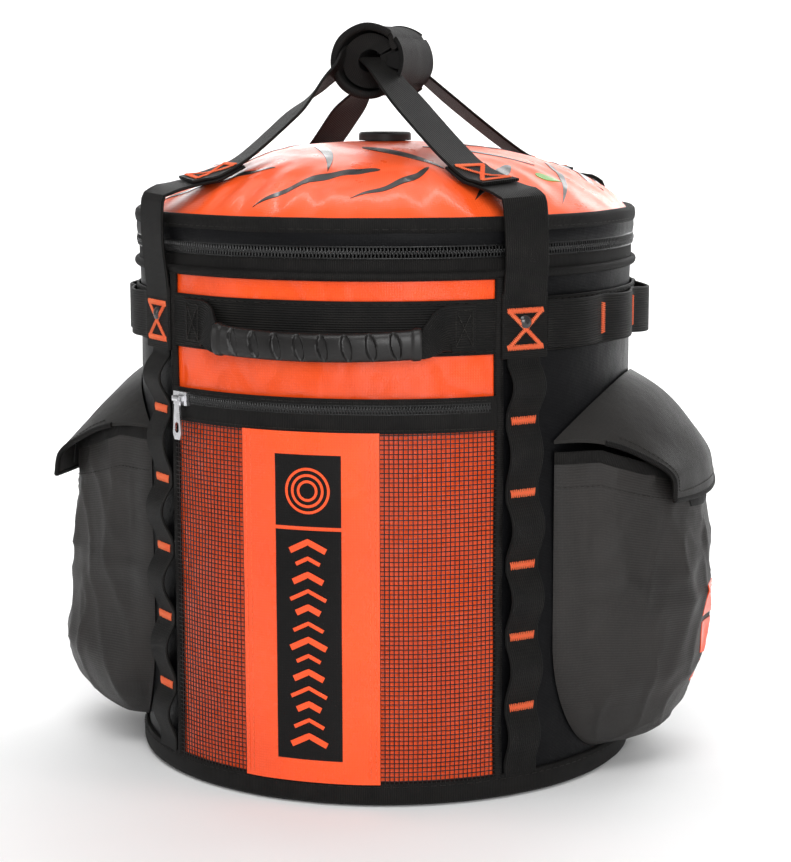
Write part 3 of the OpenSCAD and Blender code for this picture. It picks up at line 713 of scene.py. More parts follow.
def build_pocket():
    half = PANEL_HALF - 0.8
    strip_in = (STRIP_MID - STRIP_HALF + 1, STRIP_MID + STRIP_HALF - 1)

    def bag_out(a, z):
        edge = min(abs(a - s) for s in (-half, *strip_in, half))
        sag = smooth(edge / 9) * smooth((z - BASE_H) / 20) * smooth((POCKET_TOP - z) / 20)
        return MESH_R + sag * (0.6 + 0.9 * wobble(around(a, 170, z), 42, 4.0))
    pitch = 3.0
    step = math.degrees(pitch / MESH_R)
    cord = [(-0.34, 0), (-0.2, 0.26), (0.2, 0.26), (0.34, 0), (0.2, -0.26), (-0.2, -0.26)]
    g = Geo()
    for a1, a2 in ((-half, strip_in[0]), (strip_in[1], half)):
        for i in range(1, int((a2 - a1) / step)):
            a = a1 + i * step
            sweep(g, [(around(a, bag_out(a, z), z), outward(a)) for z in spread(BASE_H - 1, POCKET_TOP + 1, 22)],
                  cord)
        for j in range(int((POCKET_TOP - BASE_H) / pitch) + 1):
            z = BASE_H + 1 + j * pitch
            sweep(g, [(around(a, bag_out(a, z) + 0.12, z), outward(a)) for a in spread(a1, a2, 14)], cord)
    g.piece("pocket_mesh", "mesh", "bag", "front_mesh")

    def strip_radius(a, z):
        edge = (abs(a - STRIP_MID) / STRIP_HALF) ** 6
        p = around(a, 174, z)
        return MESH_R + 1.5 - 0.3 * edge + 0.35 * wobble(p, 40, 6.0) + 0.2 * wobble(p, 14, 7.0)
    g = Geo()
    band_patch(g, STRIP_MID - STRIP_HALF, STRIP_MID + STRIP_HALF, BASE_H - 1, POCKET_TOP + 0.5, strip_radius,
               0.9, na=40, nz=60)
    g.piece("pocket_strip", "coated_orange", "bag", "centre_strip")
    g = Geo()
    for s in (-1, 1):
        for inset in (0.9, 2.0):
            a = STRIP_MID + s * (STRIP_HALF - inset)
            stitches(g, on_drum(a, MESH_R + 1.35, 0), [(0, BASE_H + 2), (0, POCKET_TOP - 2)], radius=0.24)
    g.piece("strip_seams", "coated_orange", "bag", look="thread")

    g = Geo()
    for z1, z2 in ((30, 180.5), (183, 229)):
        band_patch(g, STRIP_MID - 7.2, STRIP_MID + 7.2, z1, z2, lambda a, z: strip_radius(a, z) + 0.35, 0.45,
                   na=20, nz=40)
    g.piece("pocket_label", "label", "bag", "centre_label")
    g = Geo()
    motif_r = MESH_R + 2.17
    centre = on_drum(STRIP_MID, motif_r, 206)
    for r in (6.0, 10.0, 14.0):
        ring = [centre(r * math.cos(t), r * math.sin(t)) for t in turns(48)]
        sweep(g, ring, flat_profile(1.8, 0.3, n=2), wrap=True)
    for i in range(13):
        chevron = on_drum(STRIP_MID, motif_r, 41 + i * 10.6)
        reach = 12 - (i % 3) * 2
        sweep(g, [chevron(x, 5.0 - abs(x) * 0.5) for x in spread(-reach, reach, 12)],
              flat_profile(2.6 if i % 2 else 4.0, 0.3, n=2))
    g.piece("label_motif", "label", "bag", look="label_motif")

    def tape_radius(a, z):
        return MESH_R + 0.9 + 0.5 * math.cos((z - 254) / 11 * 1.4) + 0.3 * wobble(around(a, 170, z), 30)
    g = Geo()
    band_patch(g, -half, half, POCKET_TOP, POCKET_ZIP_TOP, tape_radius, 1.1, na=90, nz=10)
    g.piece("pocket_zip_cloth", "binding", "bag", "pocket_zip_tape")
    g = Geo()
    for z in (POCKET_TOP + 2.2, POCKET_ZIP_TOP - 2.2):
        stitches(g, on_drum(0, MESH_R + 1.35, z), [(-112, 0), (112, 0)], radius=0.22)
    g.piece("pocket_zip_seams", "binding", "bag", look="dark_thread")
    zip_coil("pocket_zip_coil", "bag", "pocket_zip_teeth", MESH_R + 1.2, TOOTH_Z, half - 1.5, 1.9, 0.78, (-1, 1))


def zip_coil(name, body, node, r, z, half, pitch, size, rows):
    """Coil teeth along a zip that reaches half degrees to each side; rows has 1 for the upper, -1 the lower."""
    g = Geo()
    count = int(math.radians(2 * half) * r / pitch)
    for i in range(count):
        for s in rows:
            a = -half + 2 * half * (i + (0.5 if s > 0 else 0)) / count
            along = sideways(a)
            root = around(a, r, z + s * 2.9 * size)
            tip = around(a, r + 0.5 * size, z - s * 0.9 * size) + along * 0.25
            g.capsule(root, tip, 0.62 * size)
            g.capsule(tip, tip + along * 0.35 + outward(a) * 0.1, 0.72 * size)
    for s in rows:
        track = [(around(a, r - 0.1, z + s * 3.6 * size), outward(a)) for a in spread(-half, half, count // 3)]
        sweep(g, track, flat_profile(1.3 * size, 1.0))
    g.piece(name, "coil", body, node)


# ---- lid


def build_zip_and_hinge():
    g = Geo()
    band_patch(g, -ZIP_HALF, ZIP_HALF, PIPING_Z + 1.5, ZIP_Z - 3.0,
               lambda a, z: DRUM_R - 0.1 + 0.25 * wobble(around(a, 170, z), 25), 1.2, na=200, nz=4)
    g.piece("body_zip_cloth", "binding", "bag", "body_zip_half")
    zip_coil("body_zip_coil", "bag", None, DRUM_R + 0.6, ZIP_Z - 0.3, ZIP_HALF - 1, 2.3, 0.92, (-1,))
    g = Geo()
    band_patch(g, ZIP_HALF + 0.4, 359.6 - ZIP_HALF, PIPING_Z + 1.0, ZIP_Z + 6,
               lambda a, z: DRUM_R - 0.4 + 0.5 * math.cos((z - ZIP_Z) / 9), 1.2, na=40, nz=10)
    hinge = g.piece("hinge_cloth", "wall_fabric")
    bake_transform(hinge)
    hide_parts("hinge_strip")


def dome_height(r):
    base, edge = RIM_Z - 4, DRUM_R - 1.8
    return base + (DOME_TOP - base) * max(0.0, 1 - (r / edge) ** 2.4) ** 0.8


def dome_point(r, angle):
    """A point of the lid's outer face, with its puckers at the sewn edge and slow dents inside."""
    p = around(angle, r, dome_height(r))
    edge = smooth((r - 88) / 66)
    gathers = math.sin(math.radians(angle) * 38 + 2.2 * wobble(p, 60, 2.0))
    pucker = edge * gathers * (0.5 + 0.5 * wobble(p, 50, 8.0))
    dent = abs(wobble(p, 46, 11.0)) ** 0.8
    lift = 1.7 * pucker + smooth((r - 20) / 20) * (1.3 * wobble(p, 85, 1.0) - 1.5 * max(0.0, 0.35 - dent))
    return p + UP * lift * smooth((DRUM_R - 2 - r) / 9)


def build_lid():
    neck, edge = 14.2, DRUM_R - 2.4

    def top(u, v):
        r = neck + (edge - neck) * math.sin(v * math.pi / 2)
        fall = dome_height(r - 0.5) - dome_height(r + 0.5)
        normal = (UP + outward(360 * u) * min(1.6, fall)).normalized()
        return dome_point(r, 360 * u), normal, (u * 1000, r)

    def under(u, v):
        r = neck + (edge - 3 - neck) * math.sin(v * math.pi / 2)
        return around(360 * u, r, dome_height(r) - 3.0), UP, (u * 1000, r)
    g = Geo()
    shell(g, top, 220, 60, 1.4, wrap=True)
    g.piece("lid_top", "coated_orange", "lid", "lid_dome", look="lid_orange")
    g = Geo()
    shell(g, under, 96, 24, 1.0, wrap=True)
    g.piece("lid_lining_cloth", "foam", "lid", "lid_lining")
    gusset = [(-5.6, -1.6), (-5.8, -0.2), (-4.6, 0.9), (-1, 1.5), (3, 1.3), (5.2, 0.5), (5.4, -1.0), (0, -1.5)]
    hoop("lid_gusset_cloth", "wall_fabric", "lid", "lid_gusset", DRUM_R, ZIP_Z + 8.6, gusset, 200, 0.45, 30)
    rolled = [(-4.8, -1.4), (-4.9, 0.6), (-3.4, 1.8), (0, 2.3), (3.4, 1.7), (4.9, 0.2), (4.9, -2.4), (3.6, -4.6),
              (1.2, -4.9), (0.6, -3.0), (-1.5, -2.0)]
    hoop("lid_binding_tape", "binding", "lid", "lid_binding", DRUM_R + 0.1, RIM_Z - 4.6, rolled, 220, 0.55, 26)
    cover = round_profile(5.2, 2.9, 16)
    hoop("lid_hoop_cover", "hoop", "lid", "lid_hoop", DRUM_R - 4.7, ZIP_Z + 8.2, cover, 120)
    g = Geo()
    ring_seam(g, DRUM_R + 2.1, RIM_Z - 6.6, 1.2, 0.24)
    g.piece("lid_seam", "binding", "lid", look="dark_thread")
    zip_coil("lid_zip_coil", "lid", "lid_zip_half", DRUM_R + 0.6, ZIP_Z + 0.3, ZIP_HALF - 1, 2.3, 0.92, (1,))
    build_lid_print()


def brush_stroke(g, a1, r1, a2, r2, width, bow):
    """A tapered stroke laid on the dome between two places, each given by its angle and radius."""
    start, end = around(a1, r1, 0), around(a2, r2, 0)
    run = end - start
    side = run.cross(UP).normalized()
    places = spread(0, 1, 36)
    rows = []
    for t in places:
        mid = start.lerp(end, t) + side * bow * run.length * math.sin(math.pi * t)
        half = max(1.3 * width * math.sqrt(t) * (1 - t), 0.08)
        row = []
        for s in (-1, -0.5, 0, 0.5, 1):
            q = mid + side * half * s
            row.append(dome_point(math.hypot(q.x, q.y), math.degrees(math.atan2(q.x, -q.y))))
        rows.append([p + UP * 0.42 for p in row] + [p - UP * 0.5 for p in reversed(row)])
    g.rings(rows, [t * 100 for t in places], [0, 2, 4, 6, 8, 8, 6, 4, 2, 0])


def build_lid_print():
    """Generic brush strokes in two rings that turn opposite ways, varied by chance, and one green fleck."""
    chance = random.Random(11)
    black, green = Geo(), Geo()
    for count, first, inner, outer, turn in ((9, 0, 58, 122, 40), (14, 6, 112, 160, -30)):
        for k in range(count):
            a = first + 360 * k / count + chance.uniform(-7, 7)
            reach = chance.uniform(0.7, 1.0)
            brush_stroke(black, a, inner, a + turn * reach, inner + (outer - inner) * reach,
                         chance.uniform(4.5, 9.0), chance.uniform(-0.14, 0.14))
    brush_stroke(green, 66, 126, 72, 138, 8.0, 0.1)
    black.piece("lid_print", "coated_orange", "lid", look="print_black")
    green.piece("lid_fleck", "coated_orange", "lid", look="print_green")


# ---- carry loops


def strap_fold():
    """Where a riser turns in over the rim, on the front corner of the +X side."""
    return around(CORNER - 1.0, RISER_R - 2.2, LEAN_Z - 9)


def riser_keys():
    """The riser of the front corner on the +X side, from its anchor past the lid to beyond the second seam."""
    out = outward(CORNER)
    hug = RISER_R - 2.2
    top = strap_fold()
    lean = Vector((0.30, -0.30, 0.9)).normalized()
    return [
        (around(CORNER, BAND_R + 1.3, BAND_Z - 2), out), (around(CORNER, BAND_R + 1.3, BAND_MID), out),
        (around(CORNER, BAND_R + 1.5, BAND_TOP + 2), out), (around(CORNER, hug - 1.8, BAND_TOP + 22), out),
        (around(CORNER - 0.5, hug, BAND_TOP + 38), out), (top, out),
        (top + Vector((-3.4, 3.0, 5.4)), (out + UP * 0.9).normalized()),
        (top.lerp(SEAM_X, 0.40) + UP * 3.2, lean), (top.lerp(SEAM_X, 0.8) + UP * 1.2, lean), (SEAM_X, lean),
        (SEAM_X + Vector((-13, 10.5, 8)), (lean - UP * 0.1).normalized()),
    ]


def carry_keys(mid_x, mid_z, end):
    """Carry webbing on the +X side, from over the second seam to the wrap's front end and along it; end is
    the way the webbing faces inside the wrap."""
    lean = Vector((0.32, -0.32, 0.9)).normalized()
    climb = Vector((0.62, -0.42, 0.66)).normalized()
    mouth = Vector((mid_x, -WRAP_L / 2 + 1, mid_z))
    start = SEAM_X + Vector((-18, 13, 13))
    return [
        (strap_fold().lerp(SEAM_X, 0.56) + UP * 5.2, lean), (strap_fold().lerp(SEAM_X, 0.8) + UP * 3.5, lean),
        (SEAM_X + UP * 2.3, lean), (start, climb), (start.lerp(mouth, 0.45) - UP * 1.5, climb),
        (start.lerp(mouth, 0.85) - UP * 0.5, climb.lerp(end, 0.6).normalized()),
        (mouth + Vector((0, 4, 0.5)), end), (mouth + Vector((0, 20, 0.5)), end),
    ]


def build_carry():
    on_edge = Vector((1, 0, 0.05)).normalized()
    for (sx, name), mid_x, mid_z, end in zip(SIDES, (4.0, 17.0), (WRAP_Z, WRAP_Z - 2), (UP, on_edge)):
        body = f"{name}_loop"
        straps, thread = Geo(), Geo()
        for sy, corner in ((1, "front"), (-1, "back")):
            g = Geo()
            track = curve([(mirrored(p, sx, sy), mirrored(o, sx, sy)) for p, o in riser_keys()])
            sweep(g, track, flat_profile(RISER_W, WEB_T))
            riser = g.piece(f"riser_{corner}_{name}", "webbing")
            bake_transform(riser)
            if sy > 0:
                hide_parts(f"risers_{name}")
            keys = carry_keys(mid_x, mid_z, end)
            track = curve([(mirrored(p, sx, sy), mirrored(o, sx, sy)) for p, o in keys])
            width = [1.0 - 0.28 * smooth((i / len(track) - 0.55) / 0.3) for i in range(len(track))]
            sweep(straps, track, flat_profile(RISER_W - 2, WEB_T), scale=width)
            hourglass(thread, on_strap(track, mirrored(SEAM_X, sx, sy), 1.25), 11.2, 13.5)
        inside = [(Vector((mid_x * sx, y, mid_z + 0.5)), mirrored(end, sx, 1))
                  for y in (-WRAP_L / 2 + 18, 0, WRAP_L / 2 - 18)]
        sweep(straps, curve(inside, 8.0), flat_profile((RISER_W - 2) * 0.72, WEB_T))
        straps.piece(f"carry_web_{name}", "webbing", body, f"carry_strap_{name}")
        thread.piece(f"carry_seams_{name}", "webbing", body, look="thread")
    patches, thread = Geo(), Geo()
    for angle in (CORNER, -CORNER, 180 - CORNER, 180 + CORNER):
        sweep(patches, rise(angle, BAND_R + 1.1, spread(BAND_Z - 3, BAND_TOP + 3, 8)),
              flat_profile(RISER_W + 1.5, 2.4))
        hourglass(thread, on_drum(angle, BAND_R + 2.5, BAND_MID - 2), 12.6, 11.6)
    patches.piece("anchor_patches", "webbing", "bag", "strap_anchors", look="binding")
    thread.piece("anchor_seams", "webbing", "bag", look="thread")


def build_wrap():
    """The rolled handle: a sleeve on the left loop round a core on the right loop, closed by its flap."""
    def swell(t, y):
        """What the cloth's unevenness and its flared ends add to the radius."""
        ends = abs(2 * y / WRAP_L)
        flare = 1.2 * ends ** 4 * (1 + 0.6 * math.cos(t + 2.5)) - 0.5 * (1 - ends) * math.cos(2 * t)
        return flare + 0.9 * wobble(Vector((40 * math.cos(t), y, 40 * math.sin(t))), 26, 3.0)

    def roll(geo, cx, r1, r2, a1, a2, length, tuck=0.0, n_around=44):
        def surface(u, v):
            t = math.radians(a1 + (a2 - a1) * v)
            y = length * (u - 0.5)
            near = min(v, 1 - v) * (a2 - a1)
            r = r1 + swell(t, y) - tuck * smooth((26 - near) / 12)
            normal = Vector((math.cos(t), 0, math.sin(t)))
            shift = 1.5 * abs(2 * u - 1) * math.sin(t * 1.3)
            return Vector((cx, y + shift, WRAP_Z)) + normal * r, normal, (y, t * r1)
        shell(geo, surface, 30, n_around, r1 - r2)

    g = Geo()
    roll(g, 0, WRAP_R - 0.9, WRAP_R - 4.7, 22, 338, WRAP_L, tuck=2.6)
    sleeve = g.piece("wrap_sleeve", "wrap", "left_loop")
    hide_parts("wrap_outer")
    g = Geo()
    for y in (-WRAP_L / 2, WRAP_L / 2):
        track = []
        for t in spread(math.radians(50), math.radians(310), 44):
            out = Vector((math.cos(t), 0, math.sin(t)))
            middle = Vector((0, y + 1.5 * math.sin(t * 1.3), WRAP_Z))
            track.append((middle + out * (WRAP_R - 2.6 + swell(t, y)), out))
        sweep(g, track, round_profile(1.9, 2.7, 10))
    g.piece("wrap_edge_tape", "wrap", "left_loop", look="binding")
    g = Geo()
    roll(g, 0.8, 17.2, 6.5, 30, 384, WRAP_L - 5)
    core = g.piece("wrap_core", "wrap", "right_loop")
    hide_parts("wrap_inner")
    g = Geo()
    roll(g, 0.3, WRAP_R - 0.7, WRAP_R - 3.2, -40, 40, WRAP_L - 1, n_around=16)
    roll(g, 0.2, WRAP_R - 3.4, 12.0, -17, 17, WRAP_L - 3, n_around=8)
    g.piece("wrap_closing_flap", "wrap", "right_loop")


# ---- front grip


def build_grip():
    half, sides = 21.4, 36
    z_mid = (low("front_grip", 2) + high("front_grip", 2)) / 2
    r_mid = DRUM_R + 12.0
    g = Geo()
    rings, us = [], []
    for s in spread(-1, 1, 230):
        a = s * half
        droop = -2.6 * (1 - s * s)
        collar = smooth((abs(s) - 0.90) / 0.04) * (1 - smooth((abs(s) - 0.985) / 0.015) * 0.55)
        waist = 1.0 - 0.06 * (1 - s * s)
        ry = 9.6 * waist + 0.9 * collar
        rx = 5.4 * waist + 0.7 * collar
        ring = []
        for t in turns(sides):
            up, out = math.sin(t), math.cos(t)
            x = math.copysign(abs(out) ** 0.75, out) * rx
            y = math.copysign(abs(up) ** 0.85, up) * ry
            if out > -0.15 and abs(s) < 0.88:
                cell = (s / 0.88 + 1) * 4.0 + y * 0.012
                f = cell - math.floor(cell) - 0.5
                leaf = max(0.0, 1 - (f / 0.23) ** 2 - (y / (ry * 0.95)) ** 2 * 0.9)
                x -= 2.0 * smooth(leaf * 2.2) * smooth((out + 0.15) * 2.5)
            ring.append(around(a, r_mid + x, z_mid + y + droop))
        rings.append(ring)
        us.append(math.radians(a) * r_mid)
    g.rings(rings, us, [k * 1.6 for k in range(sides)], lap=1.6)
    g.piece("grip_moulding", "grip", "grip", "front_grip", crisp=40)

    seams = Geo()
    for s, name in ((-1, "left"), (1, "right")):
        keys = [
            (around(s * 33.5, BAND_R + 1.4, BAND_MID), outward(s * 33.5)),
            (around(s * 27.8, BAND_R + 1.5, BAND_MID - 0.5), outward(s * 27.8)),
            (around(s * 25.2, BAND_R + 5.0, BAND_MID - 3.5), outward(s * 27)),
            (around(s * 22.5, r_mid - 1, z_mid - 0.6), outward(s * 22.5)),
            (around(s * 19.5, r_mid - 0.5, z_mid - 0.9), outward(s * 19.5)),
        ]
        track = curve(keys, 2.0)
        g = Geo()
        width = [1.0 - 0.42 * smooth((t - 0.35) / 0.45) for t in spread(0, 1, len(track) - 1)]
        sweep(g, track, flat_profile(30, WEB_T), scale=width)
        strap = g.piece(f"grip_strap_{name}", "webbing")
        a, b = around(s * 27.2, BAND_R, BAND_MID), around(s * 23.2, r_mid, z_mid)
        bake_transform(strap)
        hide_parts("grip_tabs" if s > 0 else "grip_core")
        x, y = 5.5, 11.5
        for points in ([(-x, -y), (x, -y), (x, y), (-x, y), (-x, -y)], [(-x, -y), (x, y)], [(x, -y), (-x, y)]):
            stitches(seams, on_drum(s * 30.9, BAND_R + 2.6, BAND_MID), points, length=2.4, gap=0.8, radius=0.3)
    seams.piece("grip_tab_seams", "webbing", "bag", look="dark_thread")


# ---- side pouches


def belly(z):
    """Radius of a pouch in plan at height z."""
    low_z, turn = BASE_H + 1.0, 100.0
    return POUCH_R - 40 + 40 * math.sqrt(1 - (max(0.0, turn - z) / (turn - low_z)) ** 2)


def meets_drum(rho):
    """The angle round a pouch's own middle at which a circle of radius rho meets the drum."""
    x = ((DRUM_R + 0.2) ** 2 - rho ** 2 + POUCH_X ** 2) / (2 * POUCH_X)
    return math.acos(max(-1.0, min(1.0, (x - POUCH_X) / rho)))


def mouth_height(x):
    return 223.0 - max(0.0, x - DRUM_R) * 0.35


POUCH_FOLDS = [  # ridges and dips of the cloth: from angle and height to angle and height, width, height
    (-0.75, 205, -0.35, 120, 9, 4.0), (-0.35, 120, -0.60, 60, 10, 3.6), (-1.10, 150, -0.55, 95, 8, 3.0),
    (0.10, 190, -0.30, 130, 12, -3.6), (-0.90, 60, -0.15, 80, 8, 3.2), (0.35, 170, 0.55, 80, 11, 3.4),
    (1.05, 190, 0.70, 110, 9, 3.2), (0.80, 60, 0.30, 95, 9, 3.0), (-0.10, 100, 0.15, 45, 12, -3.0),
]


def pouch_point(u, v, filled=0.0):
    """u from -1 to 1 round the pouch, v from 0 at the bottom to 1 at the mouth; right-hand pouch. The floor
    comes first, then the curve of the foot, then the wall; filled pushes the foot out, in millimetres."""
    floor_v, foot = 0.12, 0.6
    z, k = BASE_H + 1.0, 0.0
    if v < floor_v:
        rho = 43 + 17.0 * v / floor_v
    else:
        t = (v - floor_v) / (1 - floor_v)
        z += (1 - math.cos(min(t, foot) * math.pi / 2)) * 80
        k = max(0.0, (t - foot) / (1 - foot))
        rho = belly(z + (228 - z) * k)
    psi = u * meets_drum(rho)
    p = Vector((POUCH_X + rho * math.cos(psi), rho * math.sin(psi), z))
    p.z += (mouth_height(p.x) - z) * k
    normal = Vector((math.cos(psi), math.sin(psi), 0))
    free = smooth((1 - abs(u)) / 0.18) * smooth(v / 0.3)
    fold = 1 - abs(wobble(Vector((p.x * 0.8, p.y * 0.8, p.z * 1.3)), 52, 12.0))
    crease = 1 - abs(wobble(Vector((p.x, p.y * 1.3, p.z * 0.6)), 30, 21.0))
    push = 2.6 * wobble(p, 95, 7.0) + 3.0 * (fold ** 5 - 0.35) + 2.0 * (crease ** 6 - 0.3)
    for a1, z1, a2, z2, width, height in POUCH_FOLDS:
        across, up = (a2 - a1) * 95, z2 - z1
        dx, dz = (psi - a1) * 95, p.z - z1
        t = max(0.0, min(1.0, (dx * across + dz * up) / (across ** 2 + up ** 2)))
        away = math.hypot(dx - across * t, dz - up * t)
        push += height * math.exp(-(away / width) ** 1.4) * math.sin(math.pi * (0.12 + 0.76 * t))
    tuck = 3.5 * math.exp(-((p.z - 120) / 60) ** 2) * math.cos(3 * psi) - 2.6 * smooth((p.z - 150) / 50)
    full = filled * math.exp(-((p.z - 48) / 40) ** 2)
    return p + normal * free * (0.8 * push + tuck + full - 4.6), normal


def build_pouches():
    for (s, name), filled in zip(SIDES, (0.0, 14.0)):
        def surface(u, v):
            return *pouch_point(2 * u - 1, v, filled), (s * (2 * u - 1) * 150, v * 260)
        g = Geo(s)
        shell(g, surface, 120, 90, 1.3)
        g.piece(f"pouch_cloth_{name}", "pouch_fabric", "bag", f"pouch_{name}")
        g = Geo(s)
        mouth = [pouch_point(u, 1.0) for u in spread(-1, 1, 90)]
        over = [(-7, 0.9), (-6, 1.4), (0, 1.5), (1.0, 0.9), (1.2, 0)]
        sweep(g, [(p + UP * 0.2 - n * 0.6, n) for p, n in mouth], over + [(x, -y) for x, y in over[-2::-1]])
        g.piece(f"pouch_hem_{name}", "binding", "bag")
        g = Geo(s)
        track_seam(g, [pouch_point(u, 0.955) for u in spread(-0.985, 0.985, 150)])
        g.piece(f"pouch_seam_{name}", "pouch_fabric", "bag", look="dark_thread")
        g = Geo(s)
        patch(g, pouch_point, (-0.24, 0.24), (0.945, 0.982), (20, 4), 0.9, 1.1, (100, 20))
        g.piece(f"pouch_tape_{name}", "hook_tape", "bag", "pouch_tapes" if s > 0 else None)
        build_flap(s, name)
    g = Geo()
    for u_range, v_range in (((-0.095, 0.20), (0.765, 0.815)), ((-0.095, 0.20), (0.705, 0.755)),
                             ((-0.06, 0.16), (0.682, 0.692)), ((-0.06, 0.16), (0.655, 0.667))):
        patch(g, pouch_point, u_range, v_range, (30, 16), 0.5, 0.8, (150, 40))
    g.piece("pouch_print", "pouch_fabric", "bag", look="label_motif")


def flap_point(u, t, flare, arch):
    """u from -1 to 1 across the flap, t from 0 at its seam on the wall to 1 at its free edge; right-hand flap.
    flare is how far the free edge stands out more at its far corner than at its near one, and arch how far
    the middle of the flap rises above a straight slope."""
    seam = around(90 + 36 * u, DRUM_R + 0.6, 266 - 34 * abs(u) ** 2.1)
    lean = flare * u
    fold = Vector((222 - 9 * u * u + 0.5 * lean, 67 * u, 216 - 6 * u * u))
    end = Vector((228.5 - 11 * u * u + lean, 63 * u, 187 + 2.5 * u * u))
    face = Vector((1, 0.45 * u, 0.25)).normalized()
    fold_t = 0.7
    if t < fold_t:
        s = t / fold_t
        p = seam.lerp(fold, s) + UP * (math.sin(math.pi * s) * (arch + (7.0 - arch) * u * u))
    else:
        s = (t - fold_t) / (1 - fold_t)
        p = fold.lerp(end, s) + face * (1.8 * math.sin(math.pi * min(1.0, s + 0.1)))
    lump = 1.5 * wobble(p, 60, 14.0) + 0.8 * wobble(p, 24, 15.0)
    normal = (face * smooth((t - 0.4) / 0.45) + UP * (1 - smooth((t - 0.4) / 0.5))).normalized()
    return p + normal * lump * smooth(t / 0.2), normal


def build_flap(s, name):
    flare, arch = (4.0, 8.0) if s > 0 else (-8.0, 2.5)

    def soft_point(u, t):
        """The flap's point with its fold softened, by averaging neighbouring rows."""
        reach = min(0.08, t, 1 - t)
        points = [flap_point(u, t + reach * d, flare, arch) for d in (-1, -0.5, 0, 0.5, 1)]
        return sum((p for p, _ in points), Vector()) / 5, sum((n for _, n in points), Vector()).normalized()

    def rim(first, last, u_end, counts):
        """A track down one side of the flap, along its free edge and up the other side."""
        n_side, n_end = counts
        return ([soft_point(-u_end[0], t) for t in spread(first, last, n_side)]
                + [soft_point(u, last) for u in spread(-u_end[1], u_end[1], n_end)]
                + [soft_point(u_end[0], t) for t in spread(last, first, n_side)])

    def surface(u, v):
        return *soft_point(2 * u - 1, v), (u * 160, v * 110)
    g = Geo(s)
    shell(g, surface, 60, 50, 2.2)
    body = f"{name}_flap"
    cloth = g.piece(f"flap_cloth_{name}", "pouch_fabric", look="flap_fabric")
    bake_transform(cloth)
    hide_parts(f"flap_{name}")
    g = Geo(s)
    sweep(g, [(p - n * 1.1, n) for p, n in rim(0.3, 1, (1, 0.95), (24, 36))], flat_profile(4.0, 3.4, 0.3, n=3))
    g.piece(f"flap_binding_{name}", "binding", body)
    g = Geo(s)
    track_seam(g, rim(0.35, 0.93, (0.93, 0.93), (40, 60)))
    g.piece(f"flap_seam_{name}", "pouch_fabric", body, look="dark_thread")
    g = Geo(s)
    patch(g, soft_point, (-0.42, 0.42), (0.80, 0.95), (16, 4), -2.0, 1.0, (70, 16))
    g.piece(f"flap_hook_tape_{name}", "hook_tape", body, f"flap_tape_{name}")


# ---- inside and back


def build_inside():
    inner = high("foam_lining", 0) - 5

    def surface(u, v):
        a, z = 360 * u, 4 + (PIPING_Z - 5) * v
        r = inner + 0.6 * wobble(around(a, inner, z), 50, 2.0)
        return around(a, r, z), -outward(a), (u * 1000, z)
    g = Geo()
    shell(g, surface, 120, 40, -4.2, wrap=True)
    g.piece("lining_cloth", "foam", "bag", "foam_lining")
    cover = round_profile(3.6, 2.7, 14)
    hoop("rim_hoop_cover", "hoop", "bag", "rim_hoop", DRUM_R - 4.2, PIPING_Z + 0.4, cover, 120)
    g = Geo()
    for a in (90, 270):
        keys = [(around(a, inner - 0.6 - d, 50) + sideways(a) * x, -outward(a))
                for x, d in ((-24, 0), (-19, 0.4), (-9, 9), (0, 11.5), (9, 9), (19, 0.4), (24, 0))]
        sweep(g, curve(keys, 3.0), flat_profile(20, WEB_T))
    g.piece("tie_loop_web", "webbing", "bag", "inner_tie_loops")


